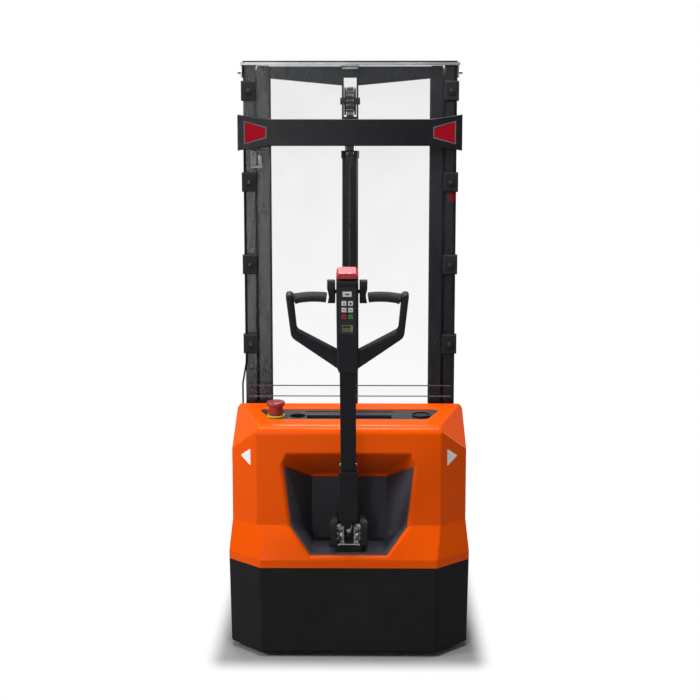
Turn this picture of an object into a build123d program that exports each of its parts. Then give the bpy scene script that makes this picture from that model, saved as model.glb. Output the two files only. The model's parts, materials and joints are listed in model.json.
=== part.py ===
from build123d import *
import math
import os

# Pedestrian pallet stacker in millimetres: +Z up, +X to the operator's right, +Y towards the fork tips.
# Every size below is measured from the floor, from the centre plane, or from the rear face of the skirt.

# Clearances
FIT = 0.05
GAP = 0.3
SEAM = 1.0

# Skirt, the black lower casing
BODY_WIDTH = 800.0
BODY_DEPTH = 352.0
SKIRT_SLANT = 110.0
SKIRT_CORNER = 112.0
SKIRT_DRAFT = 1.0
SKIRT_WALL = 6.0
SKIRT_TOP = 305.0
SKIRT_ROUND = 16.0
GROUND_GAP = 18.0

# Hood, the orange upper casing
RIM_TOP = 332.0
SHOULDER_TOP = 438.0
HOOD_INSET = 40.0
HOOD_SIDE_INSET = 12.0
HOOD_SLANT = 86.0
HOOD_CORNER = 87.0
HOOD_TOP_REAR = 767.0
HOOD_TOP_FRONT = 786.0
HOOD_TOP_DRAFT = 11.0
HOOD_FACET_LOW = 677.0
HOOD_FACET_DROP = 14.0
HOOD_WALL = 5.0
HOOD_ROUND = 12.0
HOOD_BROW_ROUND = 30.0

# Recess in the hood where the tiller stands, and its liner
RECESS_FLOOR = 344.0
RECESS_FRONT = -10.0
RECESS_BACK = 215.0
RECESS_MARGIN = 57.0
RECESS_FLOOR_WIDTH = 250.0
RECESS_CORNER_DRAFT = 32.0
RECESS_CORNER_HEIGHT = 452.0
RECESS_SIDE_HEIGHT = 662.0
RECESS_BROW_DRAFT = 16.0
RECESS_BROW_HEIGHT = 707.0
RECESS_BACK_WIDTH = 262.0
RECESS_BACK_TOP = 563.0
RECESS_BACK_CORNER = 14.0
RECESS_FLOOR_ROUND = 24.0
RECESS_SIDE_ROUND = 120.0
RECESS_BACK_ROUND = 10.0
LINER_WALL = 4.0

# Dash tray in the top of the hood, measured along the sloping top from its rear edge
TRAY_NEAR = 96.0
TRAY_FAR = 232.0
TRAY_MARGIN = 68.0
TRAY_TAPER = 49.0
TRAY_ROUND = 20.0
TRAY_SINK = 3.0
TRAY_PLATE = 5.0
TRAY_WALL = 3.0
TRAY_BIN_DEPTH = 30.0
TRAY_BIN_MARGIN = 119.0
TRAY_BIN_LENGTH = 44.0
TRAY_CUP_RADIUS = 27.0
TRAY_CUP_OFFSET = 74.0
TRAY_INLET_MARGIN = 20.0
TRAY_GROOVE_REACH = 7.0
TRAY_GROOVE_LENGTH = 12.0
TRAY_GROOVE_DEPTH = 2.5

# Emergency stop and charger inlet on the tray
ESTOP_MARGIN = 14.0
ESTOP_ALONG = 152.0
ESTOP_HEAD_RADIUS = 31.0
ESTOP_NECK_RADIUS = 24.0
ESTOP_BASE_RADIUS = 26.0
ESTOP_HEIGHT = 50.0
ESTOP_HEAD_HEIGHT = 15.0
ESTOP_TRAVEL = 6.0
COLLAR_RADIUS = 30.0
COLLAR_HEIGHT = 4.0
INLET_RADIUS = 31.0
INLET_HEIGHT = 7.0

# Chassis frame under the body
DECK_TOP = 272.0
DECK_THICKNESS = 10.0
BASE_BEAM_BOTTOM = 28.0
BASE_BEAM_HEIGHT = 62.0
BULKHEAD_THICKNESS = 12.0

# Drive unit, steered by the tiller
STEER_Y = 122.0
DRIVE_WHEEL_RADIUS = 100.0
DRIVE_WHEEL_WIDTH = 66.0
DRIVE_AXLE_RADIUS = 14.0
TURRET_RADIUS = 70.0
BEARING_RADIUS = 90.0
BEARING_HEIGHT = 18.0
TURRET_CHEEK = 10.0
COLUMN_RADIUS = 42.0
DRIVE_MOTOR_RADIUS = 46.0
DRIVE_MOTOR_LENGTH = 44.0

# Sides of every wheel: how far the dish and the hub reach, as shares of the wheel and of its bore
DISH_SHARE = 0.72
HUB_SHARE = 2.0

# Castors beside the drive wheel
CASTOR_MARGIN = 125.0
CASTOR_Y = 190.0
CASTOR_RADIUS = 62.5
CASTOR_WIDTH = 40.0
CASTOR_TRAIL = 40.0
CASTOR_CHEEK = 6.0
CASTOR_AXLE_RADIUS = 8.0
CASTOR_HEAD_RADIUS = 36.0
CASTOR_HEAD_HEIGHT = 22.0

# Batteries, hydraulic unit and controller on the deck
BATTERY_WIDTH = 130.0
BATTERY_MARGIN = 15.0
BATTERY_HEIGHT = 215.0
UNIT_WIDTH = 190.0
UNIT_HEIGHT = 120.0
PUMP_RADIUS = 46.0
FIN_COUNT = 8
FIN_DEPTH = 24.0

# Support legs under the forks, and their load wheels
LEG_WIDTH = 128.0
LEG_TOP = 77.0
LEG_BOTTOM = 24.0
LEG_WALL = 10.0
LEG_TIP_SETBACK = 65.0
LOAD_WHEEL_RADIUS = 40.0
LOAD_WHEEL_WIDTH = 93.0
LOAD_WHEEL_SETBACK = 60.0
LOAD_AXLE_RADIUS = 10.0
LOAD_WHEEL_SLOT = 4.0

# Mast
MAST_OFFSET = 48.0
MAST_DEPTH = 110.0
MAST_MARGIN = 38.0
MAST_HEIGHT = 1950.0
FLANGE = 12.0
WEB = 10.0
OUTER_FLANGE_WIDTH = 37.0
MAST_GAP = 11.0
INNER_FLANGE_WIDTH = 39.0
INNER_WEB = 8.0
INNER_BOTTOM = 96.0
LIFT_MARGIN = 530.0
CROSSBEAM_THICKNESS = 12.0
CROSSBEAM_DROP = 16.0
CROSSBEAM_END_DEPTH = 39.0
CROSSBEAM_MID_DEPTH = 64.0
TIE_HEIGHT = 80.0
TOP_TIE_HEIGHT = 15.0
FOOT_TIE_HEIGHT = 40.0

# Mast rollers
ROLLER_WIDTH = 24.0
ROLLER_AXLE_RADIUS = 12.0
ROLLER_SIDE_GAP = 2.0

# Lift cylinder, chain and pulley, with drops measured from the top of the mast
BARREL_RADIUS = 27.5
BARREL_DROP = 300.0
BARREL_WALL = 5.5
GLAND_RADIUS = 31.0
GLAND_HEIGHT = 26.0
ROD_RADIUS = 18.0
ROD_MARGIN = 20.0
PULLEY_DROP = 132.0
PULLEY_RADIUS = 42.0
PULLEY_RIM = 47.0
PULLEY_WIDTH = 40.0
PULLEY_PIN_RADIUS = 12.0
YOKE_PLATE = 6.0
YOKE_DEPTH = 60.0
CHAIN_WIDTH = 26.0
CHAIN_THICKNESS = 12.0

# Carriage and forks
CARRIAGE_GAP = 12.0
CARRIAGE_PLATE = 18.0
CARRIAGE_INSET = 5.5
CARRIAGE_BOTTOM = 92.0
CARRIAGE_TOP = 440.0
CARRIAGE_CHEEK = 14.0
CARRIAGE_ROLLER_LOW = 180.0
CARRIAGE_ROLLER_HIGH = 395.0
CHAIN_HITCH_Z = 292.0
FORK_LENGTH = 1150.0
FORK_WIDTH = 180.0
FORK_TOP = 90.0
FORK_PLATE = 8.0
FORK_SIDE = 6.0
FORK_SIDE_BOTTOM = 38.0
FORK_SHANK = 25.0
FORK_SHANK_TOP = 400.0
FORK_TIP_TAPER = 120.0
FORK_TIP_WIDTH = 130.0
FORK_TIP_LIFT = 24.0

# Guard panels on the operator's side of the mast
PANEL_MARGIN = 12.0
PANEL_THICKNESS = 4.0
PANEL_STANDOFF = 30.0
PANEL_BOTTOM = 808.0
LOWER_PANEL_TOP = 847.0
LOWER_PANEL_BOTTOM = 690.0
CLIP_WIDTH = 50.0
CLIP_HEIGHT = 66.0
CLIP_LIP = 9.0
CLIP_FIRST = 144.0
CLIP_LAST_DROP = 100.0
CLIP_SHARES = (0.0, 0.319, 0.645, 1.0)
KNOB_RADIUS = 13.0
KNOB_HEIGHT = 5.0
RAIL_REACH = 7.0
RAIL_THICKNESS = 9.0
RAIL_EAR = 4.0
RAIL_BOLT_HEAD = 9.0
RAIL_BOLT_HEIGHT = 14.0
RAIL_BOLT_DROP = 20.0

# Reflector bar across the mast
BAR_DROP = 239.0
BAR_REACH = 15.0
BAR_HEIGHT = 89.0
BAR_END_HEIGHT = 120.0
BAR_FLARE = 92.0
BAR_THICKNESS = 22.0
BAR_EAR = 5.0
REFLECTOR_MARGIN = 10.0
REFLECTOR_LENGTH = 69.0
REFLECTOR_INNER_HEIGHT = 30.0
REFLECTOR_OUTER_HEIGHT = 71.0
REFLECTOR_DEPTH = 3.0

# Mast fittings
SWITCH_MARGIN = 44.0
SWITCH_GAP = 14.0
SWITCH_WIDTH = 40.0
SWITCH_HEIGHT = 56.0
HOSE_RADIUS = 3.0
HOSE_RISE = 32.0
HOSE_BOW = 13.0
HOSE_SWING = 75.0
HOSE_BEND = 24.0

# Tiller, built upright along its own axis from its pivot, then leaned back
PIVOT_OFFSET = 60.0
PIVOT_HEIGHT = 75.0
TILLER_LEAN = 24.0
TILLER_WIDTH = 49.5
TILLER_DEPTH = 40.0
TILLER_WALL = 4.0
TILLER_FOOT = 30.0
PIVOT_PIN_RADIUS = 10.0
KNUCKLE_RADIUS = 20.0
KNUCKLE_WIDTH = 30.0
SLEEVE_WIDTH = 63.0
SLEEVE_DEPTH = 54.0
SLEEVE_BOTTOM = 48.0
SLEEVE_TOP = 251.0
SLEEVE_SLANT = 40.0
EAR_INNER = 38.0
EAR_THICKNESS = 23.0
EAR_RADIUS = 42.0
EAR_LIFT = 18.0
EAR_TOP_ROUND = 21.0
EAR_ROUND = 13.0
YOKE_WIDTH = 90.0
YOKE_FRONT = 22.0
YOKE_WEB = 12.0
SPRING_WIRE = 5.0
SPRING_TURNS = 2

# Tiller head, measured along the tiller from its pivot
HEAD_BOTTOM = 623.0
HEAD_NECK_RISE = 17.0
HEAD_SOCKET = 50.0
HEAD_LENGTH = 322.0
HEAD_WIDTH = 65.5
HEAD_TOP_WIDTH = 64.5
HEAD_DEPTH = 52.0
HEAD_WALL = 6.0
HEAD_ROUND = 7.0
LOOP_DEPTH = 30.0
LOOP_ROOT = 62.0
LOOP_REACH = 11.0
LOOP_LIMB = 22.0
LOOP_TOP = 16.0
LOOP_BEND_DROP = 134.0
LOOP_BEND_INSET = 13.0
LOOP_BEND_ROUND = 34.0
LOOP_INNER_DROP = 111.0
LOOP_INNER_INSET = 9.0
LOOP_INNER_ROUND = 20.0
LOOP_EDGE_ROUND = 9.0
GRIP_RADIUS = 15.5
GRIP_CORE_RADIUS = 10.5
GRIP_INNER_X = 62.0
GRIP_OUTER_X = 172.0
GRIP_DROP = 68.5
GRIP_ARCH = 2.0
GRIP_DROOP = 8.5
BUTTERFLY_DROP = 50.0
BUTTERFLY_Y = 4.0
BUTTERFLY_INNER_X = 36.0
BUTTERFLY_OUTER_X = 59.5
BUTTERFLY_HALF_HEIGHT = 39.5
BUTTERFLY_HALF_DEPTH = 18.0
BUTTERFLY_SHAFT_RADIUS = 6.0
BUTTERFLY_SCOOP = 5.0
BUTTERFLY_SCOOP_RADIUS = 90.0
BUTTERFLY_SCOOP_DROP = 13.0
BELLY_HEIGHT = 19.0
BELLY_TRAVEL = 6.0
BELLY_TOP_WIDTH = 52.0
BELLY_DEPTH = 42.0
BELLY_WALL = 4.0

# Keypad on the head
KEYPAD_DROP = 19.0
KEYPAD_END = 9.5
KEYPAD_WIDTH = 51.0
KEYPAD_PLATE = 2.2
KEY_WIDTH = 14.0
KEY_HEIGHT = 15.0
KEY_PITCH = 19.5
KEY_ROW_PITCH = 22.75
KEY_TRAVEL = 1.5
KEY_STAND = 2.0
KEY_GAP = 15.55
HORN_DROP = 21.6
HORN_WIDTH = 27.0
HORN_HEIGHT = 16.5
DISPLAY_GAP = 21.6
DISPLAY_WIDTH = 34.0
DISPLAY_HEIGHT = 25.0

# Sizes that follow from the ones above
SKIRT_FACE = BODY_WIDTH - 2 * SKIRT_SLANT
HOOD_WIDTH = BODY_WIDTH - 2 * HOOD_SIDE_INSET
HOOD_FACE = HOOD_WIDTH - 2 * HOOD_SLANT
HOOD_TOP_FRONT_WIDTH = HOOD_WIDTH - 2 * HOOD_TOP_DRAFT
RECESS_SIDE_WIDTH = HOOD_FACE - 2 * RECESS_MARGIN
RECESS_CORNER_WIDTH = RECESS_SIDE_WIDTH - 2 * RECESS_CORNER_DRAFT
RECESS_BROW_WIDTH = RECESS_SIDE_WIDTH - 2 * RECESS_BROW_DRAFT
TRAY_FAR_WIDTH = HOOD_TOP_FRONT_WIDTH - 2 * TRAY_MARGIN
TRAY_NEAR_WIDTH = TRAY_FAR_WIDTH - 2 * TRAY_TAPER
TRAY_BIN_WIDTH = TRAY_NEAR_WIDTH - 2 * TRAY_BIN_MARGIN
TRAY_GROOVE_WIDTH = TRAY_BIN_WIDTH + 2 * TRAY_GROOVE_REACH
TRAY_INLET_X = TRAY_NEAR_WIDTH / 2 - TRAY_INLET_MARGIN
ESTOP_X = ESTOP_MARGIN - TRAY_NEAR_WIDTH / 2
TRAY_CUP_X = ESTOP_X + TRAY_CUP_OFFSET
CASTOR_X = BODY_WIDTH / 2 - CASTOR_MARGIN
TOP_SLOPE = math.degrees(math.atan((HOOD_TOP_FRONT - HOOD_TOP_REAR) / (BODY_DEPTH - HOOD_INSET)))
DECK_BOTTOM = DECK_TOP - DECK_THICKNESS
BASE_BEAM_TOP = BASE_BEAM_BOTTOM + BASE_BEAM_HEIGHT
BATTERY_REAR = HOOD_INSET + HOOD_CORNER + HOOD_WALL
BATTERY_LENGTH = BODY_DEPTH - BATTERY_MARGIN - BATTERY_REAR
YOKE_BOTTOM = RECESS_FLOOR + LINER_WALL + 2 * SEAM
PIVOT_Y = STEER_Y - PIVOT_OFFSET
PIVOT_Z = YOKE_BOTTOM + PIVOT_HEIGHT
MAST_WIDTH = BODY_WIDTH - 2 * MAST_MARGIN
LIFT_STROKE = MAST_HEIGHT - LIFT_MARGIN
CROSSBEAM_TOP = MAST_HEIGHT - CROSSBEAM_DROP
BARREL_TOP = MAST_HEIGHT - BARREL_DROP
PULLEY_Z = MAST_HEIGHT - PULLEY_DROP
MAST_REAR = BODY_DEPTH + MAST_OFFSET
MAST_FRONT = MAST_REAR + MAST_DEPTH
MAST_MIDDLE = MAST_REAR + MAST_DEPTH / 2
TIE_FRONT = MAST_REAR - 2 * SEAM
TIE_REAR = TIE_FRONT - BULKHEAD_THICKNESS
OUTER_X = MAST_WIDTH / 2
OUTER_WEB_X = OUTER_X - WEB
OUTER_LIP_X = OUTER_X - OUTER_FLANGE_WIDTH
INNER_OUT_X = OUTER_LIP_X - MAST_GAP
INNER_IN_X = INNER_OUT_X - INNER_FLANGE_WIDTH
INNER_WEB_OUT_X = (INNER_OUT_X + INNER_IN_X + INNER_WEB) / 2
INNER_WEB_IN_X = INNER_WEB_OUT_X - INNER_WEB
ROLLER_RADIUS = MAST_DEPTH / 2 - FLANGE - GAP
INNER_ROLLER_X = (OUTER_WEB_X - ROLLER_SIDE_GAP - ROLLER_WIDTH, OUTER_WEB_X - ROLLER_SIDE_GAP)
OUTER_ROLLER_X = (INNER_WEB_OUT_X + ROLLER_SIDE_GAP, INNER_WEB_OUT_X + ROLLER_SIDE_GAP + ROLLER_WIDTH)
CARRIAGE_ROLLER_X = (INNER_WEB_IN_X - ROLLER_SIDE_GAP - ROLLER_WIDTH, INNER_WEB_IN_X - ROLLER_SIDE_GAP)
INNER_ROLLER_Z = INNER_BOTTOM + ROLLER_RADIUS + 2 * ROLLER_SIDE_GAP
OUTER_ROLLER_Z = MAST_HEIGHT - ROLLER_RADIUS - TIE_HEIGHT / 4
CARRIAGE_WIDTH = 2 * (INNER_WEB_IN_X - CARRIAGE_INSET)
LEG_X = (CARRIAGE_WIDTH - FORK_WIDTH) / 2
CARRIAGE_REAR = MAST_FRONT + CARRIAGE_GAP
CARRIAGE_FRONT = CARRIAGE_REAR + CARRIAGE_PLATE
CHEEK_X = (CARRIAGE_ROLLER_X[0] - CARRIAGE_CHEEK - ROLLER_SIDE_GAP, CARRIAGE_ROLLER_X[0] - ROLLER_SIDE_GAP)
FORK_FACE = CARRIAGE_FRONT + FORK_SHANK
FORK_END = FORK_FACE + FORK_LENGTH
LEG_TIP_Y = FORK_END - LEG_TIP_SETBACK
LOAD_WHEEL_Y = LEG_TIP_Y - LOAD_WHEEL_SETBACK
PANEL_WIDTH = MAST_WIDTH - 2 * PANEL_MARGIN
PANEL_FRONT = MAST_REAR - PANEL_STANDOFF
PANEL_REAR = PANEL_FRONT - PANEL_THICKNESS
LOWER_PANEL_REAR = PANEL_REAR - PANEL_THICKNESS
CLIP_REAR = LOWER_PANEL_REAR - SEAM
CLIP_X = (OUTER_X + CLIP_LIP / 2 - CLIP_WIDTH, OUTER_X + CLIP_LIP / 2)
CLIP_LOW = LOWER_PANEL_TOP + CLIP_FIRST
CLIP_RISE = MAST_HEIGHT - CLIP_LAST_DROP - CLIP_LOW
RAIL_WIDTH = MAST_WIDTH + 2 * RAIL_REACH
RAIL_Z = (MAST_HEIGHT - TOP_TIE_HEIGHT, MAST_HEIGHT - TOP_TIE_HEIGHT + RAIL_THICKNESS)
BAR_FRONT = CLIP_REAR - SEAM
BAR_Z = MAST_HEIGHT - BAR_DROP
BAR_BEND = OUTER_X - BAR_FLARE
REFLECTOR_OUTER_X = OUTER_X - REFLECTOR_MARGIN
REFLECTOR_INNER_X = REFLECTOR_OUTER_X - REFLECTOR_LENGTH
SWITCH_X = SWITCH_MARGIN - OUTER_X
SWITCH_CLIP_Z = CLIP_LOW + CLIP_RISE * CLIP_SHARES[2]
SWITCH_Z = SWITCH_CLIP_Z + (CLIP_HEIGHT + SWITCH_HEIGHT) / 2 + SWITCH_GAP
HOSE_X = HOSE_RADIUS - OUTER_X
HOSE_Y = (PANEL_FRONT + MAST_REAR) / 2
HOSE_TOP = SWITCH_Z + SWITCH_HEIGHT / 2 + HOSE_RISE
REAR_STRAND_Y = MAST_MIDDLE - PULLEY_RADIUS
FRONT_STRAND_Y = MAST_MIDDLE + PULLEY_RADIUS
YOKE_X = PULLEY_WIDTH / 2 + ROLLER_SIDE_GAP + YOKE_PLATE
YOKE_LOW = PULLEY_Z - PULLEY_RIM - 4 * YOKE_PLATE
CHAIN_ANCHOR_Z = BARREL_TOP - GLAND_HEIGHT
EAR_OUTER = EAR_INNER + EAR_THICKNESS
EAR_BOTTOM = YOKE_BOTTOM + EAR_LIFT
HEAD_TOP = HEAD_BOTTOM + HEAD_LENGTH
HEAD_NECK = HEAD_BOTTOM + HEAD_NECK_RISE
ARM_TOP = HEAD_NECK + HEAD_SOCKET
GRIP_ALONG = HEAD_TOP - GRIP_DROP
BUTTERFLY_ALONG = HEAD_TOP - BUTTERFLY_DROP
KEYPAD_TOP = HEAD_TOP - KEYPAD_DROP
HORN_ALONG = KEYPAD_TOP - HORN_DROP
KEY_TOP_ROW = HORN_ALONG - (HORN_HEIGHT + KEY_HEIGHT) / 2 - KEY_GAP
KEY_ROW = KEY_TOP_ROW - 2 * KEY_ROW_PITCH
DISPLAY_ALONG = KEY_ROW - (KEY_HEIGHT + DISPLAY_HEIGHT) / 2 - DISPLAY_GAP
KEYPAD_BOTTOM = DISPLAY_ALONG - DISPLAY_HEIGHT / 2 - KEYPAD_END
HEAD_FACE = -HEAD_DEPTH / 2
KEYPAD_FACE = HEAD_FACE - KEYPAD_PLATE


def block(x, y, z):
    """Box between a lower and an upper limit on each axis."""
    limits = (x, y, z)
    middle = [(low + high) / 2 for low, high in limits]
    return Pos(*middle) * Box(*[high - low for low, high in limits])


def centred(width):
    """Limits of a width laid evenly about zero."""
    return (-width / 2, width / 2)


def rod_x(radius, x, y, z):
    """Round bar lying along X."""
    return Pos((x[0] + x[1]) / 2, y, z) * Rot(0, 90, 0) * Cylinder(radius, x[1] - x[0])


def rod_y(radius, x, y, z):
    """Round bar lying along Y."""
    return Pos(x, (y[0] + y[1]) / 2, z) * Rot(90, 0, 0) * Cylinder(radius, y[1] - y[0])


def rod_z(radius, x, y, z):
    """Round bar standing along Z."""
    return Pos(x, y, (z[0] + z[1]) / 2) * Cylinder(radius, z[1] - z[0])


def plan_prism(points, z):
    """Outline seen from above, raised between two heights."""
    return Pos(0, 0, z[0]) * extrude(Polygon(*points, align=None), amount=z[1] - z[0], dir=(0, 0, 1))


def rear_slab(points, y):
    """Outline seen from behind, given as X and Z, carried along Y."""
    face = Plane.XZ * Polygon(*points, align=None)
    return Pos(0, y[0], 0) * extrude(face, amount=y[1] - y[0], dir=(0, 1, 0))


def side_slab(points, x):
    """Outline seen from the side, given as Y and Z, carried along X."""
    face = Plane.YZ * Polygon(*points, align=None)
    return Pos(x[0], 0, 0) * extrude(face, amount=x[1] - x[0], dir=(1, 0, 0))


def mirrored(shape):
    """The same piece on the other side of the centre plane."""
    return mirror(shape, about=Plane.YZ)


def symmetric(points):
    """Right-hand points joined to their mirror images as one closed outline."""
    return list(points) + [(-x, y) for x, y in reversed(points)]


def group(*shapes):
    """Separate solids that share one node."""
    return Compound([solid for shape in shapes for solid in shape.solids()])


def pair(shape):
    """A right-hand piece and its mirror image as one node."""
    return group(shape, mirrored(shape))


def soft_edges(shape, radius, choose):
    """Rounds the edges that a rule picks by their middle point."""
    return fillet([edge for edge in shape.edges() if choose(edge)], radius)


# Casings

def corner_outline(face, width, corner, rear, front, inset):
    """Plan of the body: a flat rear face, two slanted corners and straight sides, drawn in by an inset."""
    run = (width - face) / 2
    slope = math.hypot(run, corner)
    face_x = face / 2 - inset * (slope - run) / corner
    side_x = width / 2 - inset
    side_y = rear + corner + inset * (slope - corner) / run
    return symmetric([(face_x, rear + inset), (side_x, side_y), (side_x, front)])


def skirt_inset(z):
    """How far the drafted skirt has come in at a height."""
    return (SKIRT_TOP - z) * math.tan(math.radians(SKIRT_DRAFT))


def skirt_body(inset, front, bottom, top):
    """Drafted block in the plan of the skirt."""
    ends = []
    for z in (bottom, top):
        outline = corner_outline(SKIRT_FACE, BODY_WIDTH, SKIRT_CORNER, 0, front, inset + skirt_inset(z))
        ends.append(Pos(0, 0, z) * Polygon(*outline, align=None))
    return loft(ends, ruled=True)


def lower_skirt():
    """Black skirt, open above, below and towards the mast."""
    outer = skirt_body(0, BODY_DEPTH, GROUND_GAP, SKIRT_TOP)
    middle = (GROUND_GAP + SKIRT_TOP) / 2
    outer = soft_edges(outer, SKIRT_ROUND, lambda edge: abs(edge.center().Z - middle) < SEAM
                       and edge.center().Y < BODY_DEPTH - SEAM)
    outer = soft_edges(outer, SKIRT_WALL - SEAM, lambda edge: edge.center().Z < GROUND_GAP + SEAM
                       and edge.center().Y < BODY_DEPTH - SEAM)
    hollow = skirt_body(SKIRT_WALL, BODY_DEPTH + SKIRT_WALL, GROUND_GAP - SEAM, SKIRT_TOP + SEAM)
    return outer - hollow


def top_plane(inset):
    """Plane of the sloping top of the hood, sunk by an inset."""
    tilt = math.radians(TOP_SLOPE)
    plane = Plane((0, HOOD_INSET, HOOD_TOP_REAR), x_dir=(1, 0, 0), z_dir=(0, -math.sin(tilt), math.cos(tilt)))
    return plane.offset(-inset)


def facet_plane(inset, side):
    """Plane of the slanted upper facet on one side of the hood, sunk by an inset."""
    near = Vector(side * HOOD_FACE / 2, HOOD_INSET, HOOD_TOP_REAR - HOOD_FACET_DROP)
    low = Vector(side * HOOD_WIDTH / 2, HOOD_INSET + HOOD_CORNER, HOOD_FACET_LOW)
    far = Vector(side * HOOD_TOP_FRONT_WIDTH / 2, BODY_DEPTH, HOOD_TOP_FRONT)
    return Plane(near, x_dir=low - near, z_dir=(low - near).cross(far - near) * side).offset(-inset)


def hood_body(inset, bottom):
    """Faceted block of the hood: belt, sloping shoulder and upper part, drawn in by an inset."""
    front = BODY_DEPTH - inset
    belt = corner_outline(SKIRT_FACE, BODY_WIDTH, SKIRT_CORNER, 0, front, inset)
    body = corner_outline(HOOD_FACE, HOOD_WIDTH, HOOD_CORNER, HOOD_INSET, front, inset)
    low = Pos(0, 0, RIM_TOP) * Polygon(*belt, align=None)
    high = Pos(0, 0, SHOULDER_TOP) * Polygon(*body, align=None)
    upper = plan_prism(body, (SHOULDER_TOP, HOOD_TOP_FRONT + HOOD_CORNER))
    for plane in (top_plane(inset), facet_plane(inset, 1), facet_plane(inset, -1)):
        upper = split(upper, bisect_by=plane, keep=Keep.BOTTOM)
    return plan_prism(belt, (bottom, RIM_TOP)) + loft([low, high], ruled=True) + upper


def round_brow(shape, inset):
    """Rounds the upper rear edge of a hood body that is drawn in by an inset."""
    rear = HOOD_INSET + inset + SEAM
    return soft_edges(shape, HOOD_BROW_ROUND - inset, lambda edge: abs(edge.center().X) < SEAM
                      and edge.center().Z > RECESS_BROW_HEIGHT and edge.center().Y < rear)


def recess_outline(points, rounds, grow):
    """Outline of the tiller recess: right-hand points from the floor up, the lowest of them rounded."""
    floor, *walls, brow = points
    right = [(floor[0] + grow, floor[1] - grow)]
    right += [(x + grow, z) for x, z in walls]
    right.append((brow[0] + grow / 2, brow[1] + grow))
    outline = Polygon(*symmetric(right), align=None)
    for (corner_x, corner_z), radius in zip(right, rounds):
        corners = outline.vertices().filter_by(
            lambda point: math.hypot(abs(point.X) - corner_x, point.Y - corner_z) < SEAM)
        outline = fillet(corners, radius + grow)
    return outline


def recess_body(grow, front_rounds=(), back_rounds=()):
    """Space of the tiller recess, wide at the operator's side and narrow at its back wall."""
    half = RECESS_BACK_WIDTH / 2
    opening = [(RECESS_FLOOR_WIDTH / 2, RECESS_FLOOR), (RECESS_CORNER_WIDTH / 2, RECESS_CORNER_HEIGHT),
               (RECESS_SIDE_WIDTH / 2, RECESS_SIDE_HEIGHT), (RECESS_BROW_WIDTH / 2, RECESS_BROW_HEIGHT)]
    back = [(half - RECESS_BACK_CORNER / 2, RECESS_FLOOR), (half, RECESS_FLOOR + 2 * RECESS_BACK_CORNER),
            (half, RECESS_BACK_TOP), (half - RECESS_BACK_CORNER, RECESS_BACK_TOP + RECESS_BACK_CORNER / 2)]
    ends = []
    for points, rounds, y in ((opening, front_rounds, RECESS_FRONT), (back, back_rounds, RECESS_BACK + grow)):
        ends.append(Pos(0, y, 0) * (Plane.XZ * recess_outline(points, rounds, grow)))
    return loft(ends, ruled=True)


def column_hole():
    """Passage for the steering column through the recess floor."""
    return rod_z(COLUMN_RADIUS + LINER_WALL, 0, STEER_Y, (SKIRT_TOP, YOKE_BOTTOM))


def tray_outline(grow):
    """Plan of the dash tray on the sloping top."""
    right = [(TRAY_NEAR_WIDTH / 2 + grow, TRAY_NEAR - grow), (TRAY_FAR_WIDTH / 2 + grow, TRAY_FAR + grow)]
    outline = Polygon(*symmetric(right), align=None)
    return fillet(outline.vertices(), TRAY_ROUND + grow)


def hood_edge(edge):
    """Tells the outer edges of the hood that are rounded from those that stay sharp."""
    middle = edge.center()
    at_rim = middle.Y > BODY_DEPTH - SEAM or middle.Z < SKIRT_TOP + SEAM
    on_brow = abs(middle.X) < SEAM and middle.Z > RECESS_BROW_HEIGHT
    behind_face = middle.Y > HOOD_INSET + SEAM and middle.Z < RECESS_BROW_HEIGHT + SEAM
    in_recess = behind_face and abs(middle.X) < RECESS_SIDE_WIDTH / 2
    return not (at_rim or on_brow or in_recess)


def hood():
    """Orange hood: a closed moulded shell with the tiller recess and the opening for the tray."""
    outer = round_brow(hood_body(0, SKIRT_TOP), 0)
    outer = soft_edges(outer - recess_body(0), HOOD_ROUND, hood_edge)
    cavity = round_brow(hood_body(HOOD_WALL, SKIRT_TOP - SEAM), HOOD_WALL) - recess_body(HOOD_WALL)
    opening = top_plane(2 * HOOD_WALL) * extrude(tray_outline(0), amount=3 * HOOD_WALL, dir=(0, 0, 1))
    return outer - cavity - opening - column_hole()


def recess_liner():
    """Dark liner on the floor, sides and back of the recess, open to the operator and its sloping roof."""
    rounds = ((RECESS_FLOOR_ROUND, RECESS_SIDE_ROUND), (RECESS_BACK_ROUND, RECESS_BACK_ROUND))
    shell = recess_body(-GAP) - recess_body(-GAP - LINER_WALL, *rounds)
    roof = Plane((0, RECESS_BACK, RECESS_BACK_TOP - LINER_WALL), x_dir=(1, 0, 0),
                 z_dir=(0, RECESS_SIDE_HEIGHT - RECESS_BACK_TOP, RECESS_BACK - RECESS_FRONT))
    shell = split(shell, bisect_by=roof, keep=Keep.BOTTOM)
    lip = hood_body(HOOD_ROUND, SKIRT_TOP)
    return (shell & lip) - column_hole()


# Dash tray with its emergency stop and charger inlet, built on the sloping top of the hood

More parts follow.
